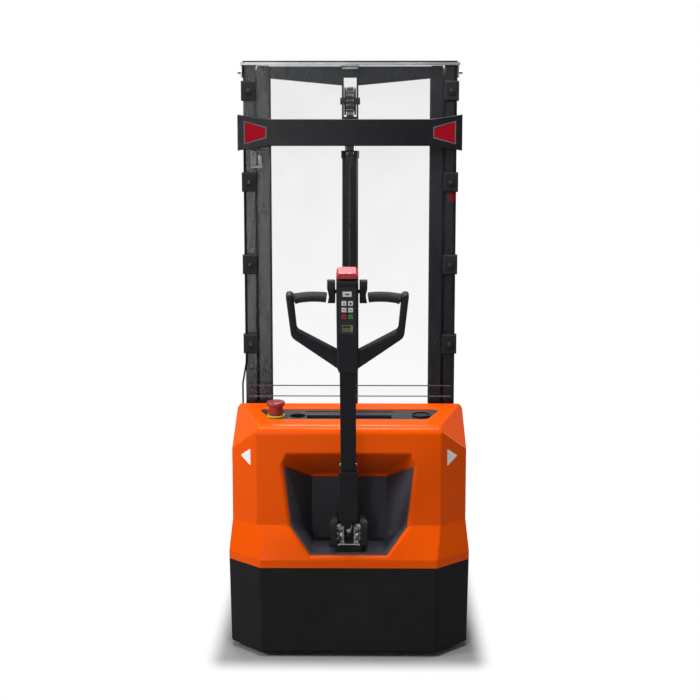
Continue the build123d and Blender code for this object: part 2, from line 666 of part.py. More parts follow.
def dash_tray():
    """Tray set flush into the hood, with a storage bin, a pen groove, a cup and a well for the inlet."""
    top = -TRAY_SINK
    floor = top - TRAY_BIN_DEPTH
    near = TRAY_NEAR + TRAY_ROUND
    shape = Pos(0, 0, top - TRAY_PLATE) * extrude(tray_outline(-GAP), amount=TRAY_PLATE, dir=(0, 0, 1))
    bin_x = (-TRAY_BIN_WIDTH / 2, TRAY_BIN_WIDTH / 2)
    bin_y = (near, near + TRAY_BIN_LENGTH)
    shape += block((bin_x[0] - TRAY_WALL, bin_x[1] + TRAY_WALL), (bin_y[0] - TRAY_WALL, bin_y[1] + TRAY_WALL),
                   (floor - TRAY_WALL, top))
    shape += rod_z(TRAY_CUP_RADIUS + TRAY_WALL, TRAY_CUP_X, ESTOP_ALONG, (floor - TRAY_WALL, top))
    shape -= block(bin_x, bin_y, (floor, SEAM))
    shape -= rod_z(TRAY_CUP_RADIUS, TRAY_CUP_X, ESTOP_ALONG, (floor, SEAM))
    groove_y = (TRAY_FAR - TRAY_ROUND - TRAY_GROOVE_LENGTH, TRAY_FAR - TRAY_ROUND)
    shape -= block((-TRAY_GROOVE_WIDTH / 2, TRAY_GROOVE_WIDTH / 2), groove_y, (top - TRAY_GROOVE_DEPTH, SEAM))
    shape -= rod_z(ESTOP_BASE_RADIUS, ESTOP_X, ESTOP_ALONG, (top - TRAY_PLATE, top))
    shape -= rod_z(INLET_RADIUS - 2 * TRAY_WALL, TRAY_INLET_X, ESTOP_ALONG, (top - TRAY_PLATE, top))
    return top_plane(0) * shape


def estop_collar():
    """Yellow ring under the emergency stop, with a cup below the tray that the button slides into."""
    top = -TRAY_SINK
    inner = ESTOP_BASE_RADIUS - TRAY_WALL
    shape = rod_z(COLLAR_RADIUS, ESTOP_X, ESTOP_ALONG, (top, top + COLLAR_HEIGHT))
    shape += rod_z(ESTOP_BASE_RADIUS - FIT, ESTOP_X, ESTOP_ALONG, (top - TRAY_BIN_DEPTH, top))
    shape -= rod_z(inner, ESTOP_X, ESTOP_ALONG, (top - TRAY_BIN_DEPTH + TRAY_WALL, top + COLLAR_HEIGHT))
    return top_plane(0) * shape


def estop_button():
    """Red mushroom button: a domed head on a neck, a wider lower tier and a stem inside the collar."""
    top = -TRAY_SINK + ESTOP_HEIGHT
    rest = COLLAR_HEIGHT - TRAY_SINK + ESTOP_TRAVEL + SEAM
    stem = ESTOP_BASE_RADIUS - TRAY_WALL - GAP
    shape = rod_z(ESTOP_HEAD_RADIUS, ESTOP_X, ESTOP_ALONG, (top - ESTOP_HEAD_HEIGHT, top))
    shape = soft_edges(shape, ESTOP_HEAD_HEIGHT / 3, lambda edge: edge.center().Z > 0)
    shape += rod_z(ESTOP_NECK_RADIUS, ESTOP_X, ESTOP_ALONG, (rest, top - ESTOP_HEAD_HEIGHT))
    shape += rod_z(ESTOP_BASE_RADIUS + SEAM, ESTOP_X, ESTOP_ALONG, (rest, rest + ESTOP_HEAD_HEIGHT / 2))
    shape += rod_z(stem, ESTOP_X, ESTOP_ALONG, (-COLLAR_HEIGHT, rest))
    return top_plane(0) * shape


def charger_inlet():
    """Round inlet with a raised rim, screwed on over the well in the tray."""
    top = -TRAY_SINK
    shape = rod_z(INLET_RADIUS, TRAY_INLET_X, ESTOP_ALONG, (top, top + INLET_HEIGHT))
    shape -= rod_z(INLET_RADIUS - TRAY_WALL, TRAY_INLET_X, ESTOP_ALONG, (top + TRAY_WALL, top + INLET_HEIGHT))
    shape += rod_z(INLET_RADIUS - 2 * TRAY_WALL - FIT, TRAY_INLET_X, ESTOP_ALONG, (top - TRAY_BIN_DEPTH, top))
    return top_plane(0) * shape


# Chassis, wheels and what the casings hold

def chassis_frame():
    """Welded frame: deck over the wheels, bulkhead and the base beam that carries mast and legs."""
    outline = corner_outline(SKIRT_FACE, BODY_WIDTH, SKIRT_CORNER, 0, TIE_FRONT,
                             SKIRT_WALL + GAP + skirt_inset(DECK_BOTTOM))
    shape = plan_prism(outline, (DECK_BOTTOM, DECK_TOP))
    shape += block((-OUTER_X, OUTER_X), (TIE_REAR, TIE_FRONT), (BASE_BEAM_BOTTOM, DECK_TOP))
    shape += block((-OUTER_X, OUTER_X), (TIE_FRONT, MAST_FRONT), (BASE_BEAM_BOTTOM, BASE_BEAM_TOP))
    shape -= rod_z(TURRET_RADIUS + GAP, 0, STEER_Y, (DECK_BOTTOM, DECK_TOP))
    for x in (CASTOR_X, -CASTOR_X):
        shape -= rod_z(CASTOR_HEAD_RADIUS / 3 + FIT, x, CASTOR_Y, (DECK_BOTTOM, DECK_TOP))
    return shape


def slewing_ring():
    """Bearing ring on the deck that the drive unit turns in."""
    z = (DECK_TOP, DECK_TOP + BEARING_HEIGHT)
    return rod_z(BEARING_RADIUS, 0, STEER_Y, z) - rod_z(TURRET_RADIUS + GAP, 0, STEER_Y, z)


def drive_turret():
    """Steered drive unit: hub, wheel fork with axle and steering column, and the motor on its right cheek."""
    ring_top = DECK_TOP + BEARING_HEIGHT + GAP
    cheek_in = DRIVE_WHEEL_WIDTH / 2 + 2 * SEAM
    cheek_out = cheek_in + TURRET_CHEEK
    bridge = 2 * DRIVE_WHEEL_RADIUS + TURRET_CHEEK
    width = DRIVE_MOTOR_RADIUS - TURRET_CHEEK
    shape = rod_z(TURRET_RADIUS, 0, STEER_Y, (bridge, ring_top))
    shape += rod_z(BEARING_RADIUS - TURRET_CHEEK / 2, 0, STEER_Y, (ring_top, ring_top + TURRET_CHEEK))
    shape += rod_z(COLUMN_RADIUS, 0, STEER_Y, (ring_top, YOKE_BOTTOM))
    for x in ((cheek_in, cheek_out), (-cheek_out, -cheek_in)):
        shape += block(x, (STEER_Y - width, STEER_Y + width), (DRIVE_WHEEL_RADIUS, bridge + TURRET_CHEEK))
        shape += rod_x(width, x, STEER_Y, DRIVE_WHEEL_RADIUS)
    shape += rod_x(DRIVE_AXLE_RADIUS, (-cheek_out, cheek_out), STEER_Y, DRIVE_WHEEL_RADIUS)
    motor = rod_x(DRIVE_MOTOR_RADIUS, (cheek_out, cheek_out + DRIVE_MOTOR_LENGTH), STEER_Y,
                  DRIVE_WHEEL_RADIUS)
    motor = soft_edges(motor, TURRET_CHEEK / 2, lambda edge: edge.center().X > cheek_out + SEAM)
    return group(shape, motor)


def wheel(radius, width, bore, x, y, z, shoulder):
    """Wheel on an axle along X: bevelled tread and a dished side around the hub."""
    shape = rod_x(radius, (x - width / 2, x + width / 2), y, z)
    shape = chamfer(shape.edges().filter_by(GeomType.CIRCLE), shoulder)
    for side in (1, -1):
        face = x + side * width / 2
        dish = sorted((face, face - side * shoulder))
        ring = rod_x(radius * DISH_SHARE, dish, y, z) - rod_x(bore * HUB_SHARE, dish, y, z)
        shape -= ring
    return shape - rod_x(bore + FIT, (x - width, x + width), y, z)


def drive_wheel():
    """Driven wheel under the turret."""
    return wheel(DRIVE_WHEEL_RADIUS, DRIVE_WHEEL_WIDTH, DRIVE_AXLE_RADIUS, 0, STEER_Y, DRIVE_WHEEL_RADIUS,
                 5 * SEAM)


def castor_fork():
    """Swivelling fork of a castor, with its king pin in the deck and its axle."""
    head = (DECK_BOTTOM - GAP - CASTOR_HEAD_HEIGHT, DECK_BOTTOM - GAP)
    axle_y = CASTOR_Y - CASTOR_TRAIL
    inner = CASTOR_WIDTH / 2 + 2 * SEAM
    outer = inner + CASTOR_CHEEK
    shape = rod_z(CASTOR_HEAD_RADIUS, CASTOR_X, CASTOR_Y, head)
    shape += rod_z(CASTOR_HEAD_RADIUS / 3, CASTOR_X, CASTOR_Y, (head[0], DECK_TOP))
    shape += block((CASTOR_X - outer, CASTOR_X + outer), (axle_y, CASTOR_Y + CASTOR_HEAD_RADIUS),
                   (head[0] - 2 * CASTOR_CHEEK, head[0]))
    leg = [(CASTOR_Y + CASTOR_HEAD_RADIUS, head[0]), (axle_y, head[0]),
           (axle_y - 3 * CASTOR_AXLE_RADIUS, CASTOR_RADIUS),
           (axle_y, CASTOR_RADIUS - 2 * CASTOR_AXLE_RADIUS), (axle_y + 3 * CASTOR_AXLE_RADIUS, CASTOR_RADIUS)]
    for x in ((CASTOR_X + inner, CASTOR_X + outer), (CASTOR_X - outer, CASTOR_X - inner)):
        shape += side_slab(leg, x)
    return shape + rod_x(CASTOR_AXLE_RADIUS, (CASTOR_X - outer, CASTOR_X + outer), axle_y, CASTOR_RADIUS)


def castor_wheel():
    """Wheel of the right castor."""
    return wheel(CASTOR_RADIUS, CASTOR_WIDTH, CASTOR_AXLE_RADIUS, CASTOR_X, CASTOR_Y - CASTOR_TRAIL,
                 CASTOR_RADIUS, 4 * SEAM)


def support_leg():
    """Leg under the right fork, welded from plates and open below, with the axle of its load wheel."""
    x = (LEG_X - LEG_WIDTH / 2, LEG_X + LEG_WIDTH / 2)
    inner = (x[0] + LEG_WALL, x[1] - LEG_WALL)
    y = (MAST_FRONT, LEG_TIP_Y)
    reach = LOAD_WHEEL_RADIUS + LOAD_WHEEL_SLOT
    side_z = (LEG_BOTTOM, LEG_TOP)
    roof_z = (LEG_TOP - LEG_WALL, LEG_TOP)
    end_z = (LEG_BOTTOM, roof_z[0])
    axle = rod_x(LOAD_AXLE_RADIUS, x, LOAD_WHEEL_Y, LOAD_WHEEL_RADIUS)
    sides = [block((x[0], inner[0]), y, side_z) - axle, block((inner[1], x[1]), y, side_z) - axle]
    roofs = [block(inner, (y[0], LOAD_WHEEL_Y - reach), roof_z),
             block(inner, (LOAD_WHEEL_Y + reach, y[1]), roof_z)]
    ends = [block(inner, (y[0], y[0] + LEG_WALL), end_z), block(inner, (y[1] - LEG_WALL, y[1]), end_z)]
    return group(*sides, *roofs, *ends, axle)


def load_wheel():
    """Load wheel at the tip of the right leg."""
    return wheel(LOAD_WHEEL_RADIUS, LOAD_WHEEL_WIDTH, LOAD_AXLE_RADIUS, LEG_X, LOAD_WHEEL_Y,
                 LOAD_WHEEL_RADIUS, 3 * SEAM)


def batteries():
    """Two battery blocks, one in each side of the hood."""
    side = HOOD_WIDTH / 2 - 3 * HOOD_WALL
    shape = block((side - BATTERY_WIDTH, side), (BATTERY_REAR, BATTERY_REAR + BATTERY_LENGTH),
                  (DECK_TOP, DECK_TOP + BATTERY_HEIGHT))
    shape = soft_edges(shape, HOOD_WALL, lambda edge: edge.center().Z > DECK_TOP + SEAM)
    for y in (BATTERY_REAR + BATTERY_LENGTH / 4, BATTERY_REAR + BATTERY_LENGTH * 3 / 4):
        shape += rod_z(2 * HOOD_WALL, side - BATTERY_WIDTH / 2, y,
                       (DECK_TOP, DECK_TOP + BATTERY_HEIGHT + 2 * HOOD_WALL))
    return pair(shape)


def hydraulic_unit():
    """Oil tank with the pump motor standing on it."""
    rear = RECESS_BACK + 3 * HOOD_WALL
    x = (-UNIT_WIDTH - HOOD_WALL, -HOOD_WALL)
    y = (rear, BODY_DEPTH - 2 * HOOD_WALL)
    shape = soft_edges(block(x, y, (DECK_TOP, DECK_TOP + UNIT_HEIGHT)), HOOD_WALL, lambda edge: True)
    middle = y[0] + PUMP_RADIUS + 2 * HOOD_WALL
    return shape + rod_z(PUMP_RADIUS, (x[0] + x[1]) / 2, middle,
                         (DECK_TOP + UNIT_HEIGHT / 2, DECK_TOP + 2 * UNIT_HEIGHT))


def motor_controller():
    """Finned controller box beside the hydraulic unit."""
    rear = RECESS_BACK + 3 * HOOD_WALL
    x = (HOOD_WALL, HOOD_WALL + UNIT_WIDTH)
    shape = block(x, (rear, BODY_DEPTH - 2 * HOOD_WALL), (DECK_TOP, DECK_TOP + UNIT_HEIGHT))
    pitch = UNIT_WIDTH / FIN_COUNT
    for fin in range(FIN_COUNT):
        slot = x[0] + fin * pitch + pitch / 2
        shape -= block((slot - pitch / 4, slot + pitch / 4), (rear, BODY_DEPTH),
                       (DECK_TOP + UNIT_HEIGHT - FIN_DEPTH, DECK_TOP + UNIT_HEIGHT))
    return shape


# Mast

def channel(lip_x, web_x, back_x, z):
    """Right-hand channel of the outer mast, open towards the centre: two flanges welded to a web."""
    hollow = (MAST_REAR + FLANGE, MAST_FRONT - FLANGE)
    rear = block((lip_x, back_x), (MAST_REAR, hollow[0]), z)
    front = block((lip_x, back_x), (hollow[1], MAST_FRONT), z)
    return group(rear, front, block((web_x, back_x), hollow, z))


def outer_mast_frame():
    """Two outer uprights with roller stubs near their tops, tied together at the top and at mid height."""
    upright = channel(OUTER_LIP_X, OUTER_WEB_X, OUTER_X, (BASE_BEAM_TOP, MAST_HEIGHT))
    stub = rod_x(ROLLER_AXLE_RADIUS, (OUTER_ROLLER_X[0], OUTER_WEB_X), MAST_MIDDLE, OUTER_ROLLER_Z)
    ties = []
    for top, height in ((MAST_HEIGHT, TOP_TIE_HEIGHT), (LOWER_PANEL_BOTTOM, TIE_HEIGHT)):
        ties.append(block(centred(2 * OUTER_X), (TIE_REAR, TIE_FRONT), (top - height, top)))
        ties.append(pair(block((OUTER_LIP_X, OUTER_X), (TIE_FRONT, MAST_REAR), (top - height, top))))
    return group(pair(upright), pair(stub), *ties)


def inner_mast_frame():
    """Two inner uprights with roller stubs near their feet, joined by a crossbeam above and a tie below."""
    z = (INNER_BOTTOM, CROSSBEAM_TOP)
    hollow = (MAST_REAR + FLANGE, MAST_FRONT - FLANGE)
    upright = block((INNER_IN_X, INNER_OUT_X), (MAST_REAR, MAST_FRONT), z)
    upright -= block((INNER_IN_X, INNER_WEB_IN_X), hollow, z)
    upright -= block((INNER_WEB_OUT_X, INNER_OUT_X), hollow, z)
    upright += rod_x(ROLLER_AXLE_RADIUS, (INNER_WEB_OUT_X, INNER_ROLLER_X[1]), MAST_MIDDLE, INNER_ROLLER_Z)
    right = [(YOKE_X, CROSSBEAM_TOP - CROSSBEAM_MID_DEPTH),
             (INNER_WEB_IN_X, CROSSBEAM_TOP - CROSSBEAM_END_DEPTH),
             (INNER_WEB_IN_X, CROSSBEAM_TOP), (YOKE_X, CROSSBEAM_TOP)]
    middle = MAST_MIDDLE - CROSSBEAM_THICKNESS
    beam = rear_slab(right, (middle - CROSSBEAM_THICKNESS / 2, middle + CROSSBEAM_THICKNESS / 2))
    foot = block((-INNER_WEB_IN_X, INNER_WEB_IN_X),
                 (MAST_REAR + FLANGE - CROSSBEAM_THICKNESS, MAST_REAR + FLANGE),
                 (INNER_BOTTOM, INNER_BOTTOM + FOOT_TIE_HEIGHT))
    foot -= pair(upright)
    return group(pair(upright), pair(beam), foot)


def roller_pair(x, z):
    """Mast rollers of one height on both sides."""
    roller = rod_x(ROLLER_RADIUS, x, MAST_MIDDLE, z)
    roller = soft_edges(roller, ROLLER_SIDE_GAP, lambda edge: True)
    return pair(roller - rod_x(ROLLER_AXLE_RADIUS + FIT, x, MAST_MIDDLE, z))


def cylinder_barrel():
    """Lift cylinder standing on the base beam, with its gland nut and the anchor for the lift chain."""
    bore = BARREL_RADIUS - BARREL_WALL
    gland_z = (BARREL_TOP - GLAND_HEIGHT, BARREL_TOP)
    barrel = rod_z(BARREL_RADIUS, 0, MAST_MIDDLE, (BASE_BEAM_TOP, gland_z[0]))
    barrel -= rod_z(bore, 0, MAST_MIDDLE, (BASE_BEAM_TOP + 2 * BARREL_WALL, gland_z[0]))
    gland = rod_z(GLAND_RADIUS, 0, MAST_MIDDLE, gland_z) - rod_z(ROD_RADIUS + FIT, 0, MAST_MIDDLE, gland_z)
    reach = (REAR_STRAND_Y - CHAIN_THICKNESS / 2, MAST_MIDDLE)
    anchor = block((-CHAIN_WIDTH / 2, CHAIN_WIDTH / 2), reach, (CHAIN_ANCHOR_Z - CHAIN_WIDTH, CHAIN_ANCHOR_Z))
    anchor -= rod_z(BARREL_RADIUS, 0, MAST_MIDDLE, (BASE_BEAM_TOP, BARREL_TOP))
    return group(barrel, gland, anchor)


def lift_rod():
    """Chromed piston rod with its piston inside the barrel."""
    low = BARREL_TOP - 2 * GLAND_HEIGHT - LIFT_STROKE - ROD_MARGIN
    rod = rod_z(ROD_RADIUS, 0, MAST_MIDDLE, (low, YOKE_LOW))
    return rod + rod_z(BARREL_RADIUS - BARREL_WALL - GAP, 0, MAST_MIDDLE, (low, low + GLAND_HEIGHT))


def pulley_yoke():
    """Fork on top of the rod, with the pin that the chain pulley turns on and a pad under the crossbeam."""
    y = (MAST_MIDDLE - YOKE_DEPTH / 2, MAST_MIDDLE + YOKE_DEPTH / 2)
    shape = block((-YOKE_X, YOKE_X), y, (YOKE_LOW, CROSSBEAM_TOP))
    shape -= block((YOKE_PLATE - YOKE_X, YOKE_X - YOKE_PLATE), y,
                   (YOKE_LOW + 3 * YOKE_PLATE, CROSSBEAM_TOP - YOKE_PLATE))
    pin = rod_x(PULLEY_PIN_RADIUS, (-YOKE_X - YOKE_PLATE, YOKE_X + YOKE_PLATE), MAST_MIDDLE, PULLEY_Z)
    return group(shape - pin, pin)


def chain_pulley():
    """Pulley with a flat-bottomed groove for the lift chain."""
    half = PULLEY_WIDTH / 2
    groove = CHAIN_WIDTH / 2 + SEAM
    shape = rod_x(PULLEY_RIM, (-half, half), MAST_MIDDLE, PULLEY_Z)
    floor = PULLEY_RADIUS - CHAIN_THICKNESS / 2 - GAP
    ring = rod_x(PULLEY_RIM + SEAM, (-groove, groove), MAST_MIDDLE, PULLEY_Z)
    shape -= ring - rod_x(floor, (-groove, groove), MAST_MIDDLE, PULLEY_Z)
    return shape - rod_x(PULLEY_PIN_RADIUS + FIT, (-half, half), MAST_MIDDLE, PULLEY_Z)


def chain_strand(y, z):
    """Straight run of the lift chain."""
    return block((-CHAIN_WIDTH / 2, CHAIN_WIDTH / 2), (y - CHAIN_THICKNESS / 2, y + CHAIN_THICKNESS / 2), z)


def chain_wrap():
    """Half turn of the lift chain over the pulley."""
    x = (-CHAIN_WIDTH / 2, CHAIN_WIDTH / 2)
    outer = PULLEY_RADIUS + CHAIN_THICKNESS / 2
    ring = rod_x(outer, x, MAST_MIDDLE, PULLEY_Z) - rod_x(outer - CHAIN_THICKNESS, x, MAST_MIDDLE, PULLEY_Z)
    return ring - block(x, (MAST_MIDDLE - outer, MAST_MIDDLE + outer), (PULLEY_Z - outer, PULLEY_Z))


# Carriage and forks

def carriage_frame():
    """Welded lift carriage: front plate, roller cheeks with axle stubs and the hitch for the chain."""
    half = CARRIAGE_WIDTH / 2
    shape = block((-half, half), (CARRIAGE_REAR, CARRIAGE_FRONT), (CARRIAGE_BOTTOM, CARRIAGE_TOP))
    window = LEG_X - FORK_WIDTH / 2 - CARRIAGE_PLATE
    shape -= block((-window, window), (CARRIAGE_REAR, CARRIAGE_FRONT),
                   (CHAIN_HITCH_Z, CARRIAGE_TOP - 3 * CARRIAGE_PLATE))
    cheek_y = (MAST_MIDDLE - 2 * ROLLER_AXLE_RADIUS, CARRIAGE_REAR)
    cheek_z = (CARRIAGE_ROLLER_LOW - ROLLER_RADIUS, CARRIAGE_ROLLER_HIGH + ROLLER_RADIUS)
    for x in (CHEEK_X, (-CHEEK_X[1], -CHEEK_X[0])):
        shape += block(x, cheek_y, cheek_z)
        stub = (CHEEK_X[0], CARRIAGE_ROLLER_X[1]) if x[0] > 0 else (-CARRIAGE_ROLLER_X[1], -CHEEK_X[0])
        for z in (CARRIAGE_ROLLER_LOW, CARRIAGE_ROLLER_HIGH):
            shape += rod_x(ROLLER_AXLE_RADIUS, stub, MAST_MIDDLE, z)
    hitch_y = (FRONT_STRAND_Y - CHAIN_THICKNESS / 2, CARRIAGE_REAR)
    return shape + block((-CHAIN_WIDTH, CHAIN_WIDTH), hitch_y, (CHAIN_HITCH_Z - CHAIN_WIDTH, CHAIN_HITCH_Z))


def fork_outline(inset, rear):
    """Plan of the right fork blade with its tapered tip."""
    half = FORK_WIDTH / 2 - inset
    tip = FORK_TIP_WIDTH / 2 - inset
    shoulder = FORK_END - FORK_TIP_TAPER
    right = [(half, rear), (half, shoulder), (tip, FORK_END - inset)]
    return [(LEG_X + x, y) for x, y in symmetric(right)]


def fork():
    """Right fork: shank bolted to the carriage and a pressed blade that straddles the support leg."""
    blade = plan_prism(fork_outline(0, CARRIAGE_FRONT), (FORK_SIDE_BOTTOM, FORK_TOP))
    blade -= plan_prism(fork_outline(FORK_SIDE, CARRIAGE_FRONT), (FORK_SIDE_BOTTOM, FORK_TOP - FORK_PLATE))
    ramp = [(FORK_END - FORK_TIP_TAPER, FORK_SIDE_BOTTOM), (FORK_END, FORK_SIDE_BOTTOM + FORK_TIP_LIFT),
            (FORK_END, FORK_SIDE_BOTTOM)]
    blade -= side_slab(ramp, (LEG_X - FORK_WIDTH, LEG_X + FORK_WIDTH))
    shank = block((LEG_X - FORK_WIDTH / 2, LEG_X + FORK_WIDTH / 2), (CARRIAGE_FRONT, FORK_FACE),
                  (FORK_TOP - FORK_PLATE, FORK_SHANK_TOP))
    shape = blade + shank
    heel = soft_edges(shape, FORK_SHANK - FORK_PLATE, lambda edge: abs(edge.center().Y - FORK_FACE) < SEAM
                      and abs(edge.center().Z - FORK_TOP) < SEAM)
    return soft_edges(heel, FORK_PLATE / 2, lambda edge: edge.center().Z > FORK_SHANK_TOP - SEAM)


# Guard, reflectors and fittings on the mast

def guard_panels():
    """Two clear panels, the short lower one lapped over the tall upper one."""
    half = PANEL_WIDTH / 2
    upper = block((-half, half), (PANEL_REAR, PANEL_FRONT), (PANEL_BOTTOM, RAIL_Z[0]))
    lower = block((-half, half), (LOWER_PANEL_REAR, PANEL_REAR), (LOWER_PANEL_BOTTOM, LOWER_PANEL_TOP))
    return group(upper, lower)


def guard_clip(z):
    """Moulded clip that holds the panel off the right upright, with its screw knob."""
    high = (z - CLIP_HEIGHT / 2, z + CLIP_HEIGHT / 2)
    shape = block(CLIP_X, (CLIP_REAR, MAST_REAR), high)
    shape = soft_edges(shape, CLIP_LIP / 2, lambda edge: edge.center().Y < CLIP_REAR + SEAM)
    shape -= block((CLIP_X[0], PANEL_WIDTH / 2 + GAP), (PANEL_REAR, PANEL_FRONT), high)
    shape -= block((CLIP_X[0], OUTER_LIP_X + GAP), (PANEL_FRONT, MAST_REAR), high)
    shape -= rod_z(HOSE_RADIUS + GAP, -HOSE_X, HOSE_Y, high)
    middle = (CLIP_X[0] + CLIP_X[1]) / 2
    return shape + rod_y(KNOB_RADIUS, middle, (CLIP_REAR - KNOB_HEIGHT, CLIP_REAR + SEAM), z)


def guard_clips():
    """Clips in a vertical row on each upright."""
    return group(*[pair(guard_clip(CLIP_LOW + share * CLIP_RISE)) for share in CLIP_SHARES])


def guard_rail():
    """Bright top rail over the panels, with an ear and a bolt on the outside of each upright."""
    half = RAIL_WIDTH / 2
    rail = block((-half, half), (LOWER_PANEL_REAR, TIE_REAR), RAIL_Z)
    ear_x = (OUTER_X, OUTER_X + RAIL_EAR)
    ear_y = (LOWER_PANEL_REAR, MAST_REAR + MAST_DEPTH / 3)
    ear = block(ear_x, ear_y, (RAIL_Z[0] - 2 * RAIL_BOLT_DROP, RAIL_Z[0]))
    spot = Pos(ear_x[1], MAST_REAR + FLANGE, RAIL_Z[0] - RAIL_BOLT_DROP)
    bolt = extrude(spot * (Plane.YZ * RegularPolygon(RAIL_BOLT_HEAD, 6)), amount=RAIL_BOLT_HEIGHT,
                   dir=(1, 0, 0))
    return group(rail, pair(ear), pair(bolt))


def bar_outline(half_x, end_x):
    """Right half of the reflector bar seen from behind: level in the middle, flared at the end."""
    flare = (BAR_END_HEIGHT - BAR_HEIGHT) / 2
    return [(half_x, BAR_Z - BAR_HEIGHT / 2), (BAR_BEND, BAR_Z - BAR_HEIGHT / 2),
            (end_x, BAR_Z - BAR_HEIGHT / 2 - flare), (end_x, BAR_Z + BAR_HEIGHT / 2 + flare),
            (BAR_BEND, BAR_Z + BAR_HEIGHT / 2), (half_x, BAR_Z + BAR_HEIGHT / 2)]


def reflector_outline(grow):
    """Right reflector: a trapezium that is taller at its outer end."""
    inner = REFLECTOR_INNER_HEIGHT / 2 + grow
    outer = REFLECTOR_OUTER_HEIGHT / 2 + grow
    x = (REFLECTOR_INNER_X - grow, REFLECTOR_OUTER_X + grow)
    return [(x[0], BAR_Z - inner), (x[1], BAR_Z - outer), (x[1], BAR_Z + outer), (x[0], BAR_Z + inner)]


def reflector_bar():
    """Black bar across the mast with pockets for the reflectors and an ear along each upright."""
    rear = BAR_FRONT - BAR_THICKNESS
    half = rear_slab(bar_outline(0, OUTER_X + BAR_REACH), (rear, BAR_FRONT))
    half -= rear_slab(reflector_outline(GAP), (rear, rear + REFLECTOR_DEPTH))
    half += block((OUTER_X, OUTER_X + BAR_EAR), (BAR_FRONT, MAST_MIDDLE),
                  (BAR_Z - BAR_HEIGHT / 3, BAR_Z + BAR_HEIGHT / 3))
    flare = (BAR_END_HEIGHT - BAR_HEIGHT) / 2
    return soft_edges(half + mirrored(half), BAR_EAR / 2, lambda edge: edge.center().Y < rear + SEAM
                      and abs(abs(edge.center().Z - BAR_Z) - BAR_HEIGHT / 2) < flare)


def reflectors():
    """Two red reflectors set into the bar."""
    rear = BAR_FRONT - BAR_THICKNESS
    return pair(rear_slab(reflector_outline(0), (rear, rear + REFLECTOR_DEPTH)))


def limit_switch():
    """Height switch on the left upright, behind the panel."""
    x = (SWITCH_X - SWITCH_WIDTH / 2, SWITCH_X + SWITCH_WIDTH / 2)
    z = (SWITCH_Z - SWITCH_HEIGHT / 2, SWITCH_Z + SWITCH_HEIGHT / 2)
    shape = block(x, (PANEL_FRONT + 2 * SEAM, TIE_FRONT), z)
    shape = soft_edges(shape, 2 * SEAM, lambda edge: edge.center().Y < TIE_FRONT - SEAM)
    return shape + block((x[0], -OUTER_LIP_X), (TIE_FRONT, MAST_REAR), z)


def mast_hose():
    """Hose from the deck up the left upright, through the clips and over into the height switch."""
    out_x = HOSE_X - HOSE_BOW
    end_x = SWITCH_X + SWITCH_WIDTH / 4
    first = CLIP_LOW - CLIP_HEIGHT
    route = [(out_x, DECK_TOP), (out_x, first - HOSE_SWING), (HOSE_X, first), (HOSE_X, HOSE_TOP),
             (end_x, HOSE_TOP), (end_x, SWITCH_Z + SWITCH_HEIGHT / 2)]
    path = FilletPolyline(*[(x, HOSE_Y, z) for x, z in route], radius=HOSE_BEND)
    return sweep(Plane(path @ 0, z_dir=path % 0) * Circle(HOSE_RADIUS), path=path)


# Tiller foot, which steers the drive unit

def yoke_ear():
    """Right ear of the yoke: a rounded plate around the pivot pin, with a domed outer edge."""
    back = STEER_Y + COLUMN_RADIUS
    side = Polygon((PIVOT_Y - EAR_RADIUS, EAR_BOTTOM), (back, EAR_BOTTOM), (back, EAR_BOTTOM + EAR_THICKNESS),
                   (PIVOT_Y + EAR_RADIUS, PIVOT_Z), (PIVOT_Y - EAR_RADIUS, PIVOT_Z), align=None)
    side += Pos(PIVOT_Y, PIVOT_Z) * Circle(EAR_RADIUS)
    side = fillet(side.vertices().filter_by(lambda point: point.Y < PIVOT_Z - SEAM), EAR_ROUND)
    rear = Polygon((EAR_INNER, EAR_BOTTOM), (EAR_OUTER, EAR_BOTTOM), (EAR_OUTER, PIVOT_Z + EAR_RADIUS),
                   (EAR_INNER, PIVOT_Z + EAR_RADIUS), align=None)
    outer = rear.vertices().filter_by(lambda point: point.X > EAR_OUTER - SEAM)
    rear = fillet(outer.filter_by(lambda point: point.Y > PIVOT_Z), EAR_TOP_ROUND)
    outer = rear.vertices().filter_by(lambda point: point.X > EAR_OUTER - SEAM)
    rear = fillet(outer.filter_by(lambda point: point.Y < EAR_BOTTOM + SEAM), EAR_ROUND)
    plate = Pos(EAR_INNER, 0, 0) * extrude(Plane.YZ * side, amount=EAR_THICKNESS, dir=(1, 0, 0))
    start = PIVOT_Y - 2 * EAR_RADIUS
    return plate & Pos(0, start, 0) * extrude(Plane.XZ * rear, amount=back - start + EAR_RADIUS,
                                              dir=(0, 1, 0))


def tiller_yoke():
    """Casting on the steering column: two ears around the tiller's foot, on a narrower base with a web."""
    back = STEER_Y + COLUMN_RADIUS
    web = PIVOT_Y + KNUCKLE_RADIUS + EAR_THICKNESS
    base_y = (PIVOT_Y - YOKE_FRONT, back)
    ear = yoke_ear() + block((EAR_INNER, YOKE_WIDTH / 2), base_y, (YOKE_BOTTOM, EAR_BOTTOM + EAR_ROUND))
    shape = ear + mirrored(ear)
    shape += block(centred(2 * EAR_INNER), base_y, (YOKE_BOTTOM, EAR_BOTTOM))
    shape += block(centred(2 * EAR_INNER), (web, back), (YOKE_BOTTOM, EAR_BOTTOM + EAR_ROUND))
    shape += block(centred(2 * EAR_INNER), (web, web + YOKE_WEB), (YOKE_BOTTOM, PIVOT_Z))
    return shape - rod_x(PIVOT_PIN_RADIUS + FIT, (-EAR_OUTER, EAR_OUTER), PIVOT_Y, PIVOT_Z)


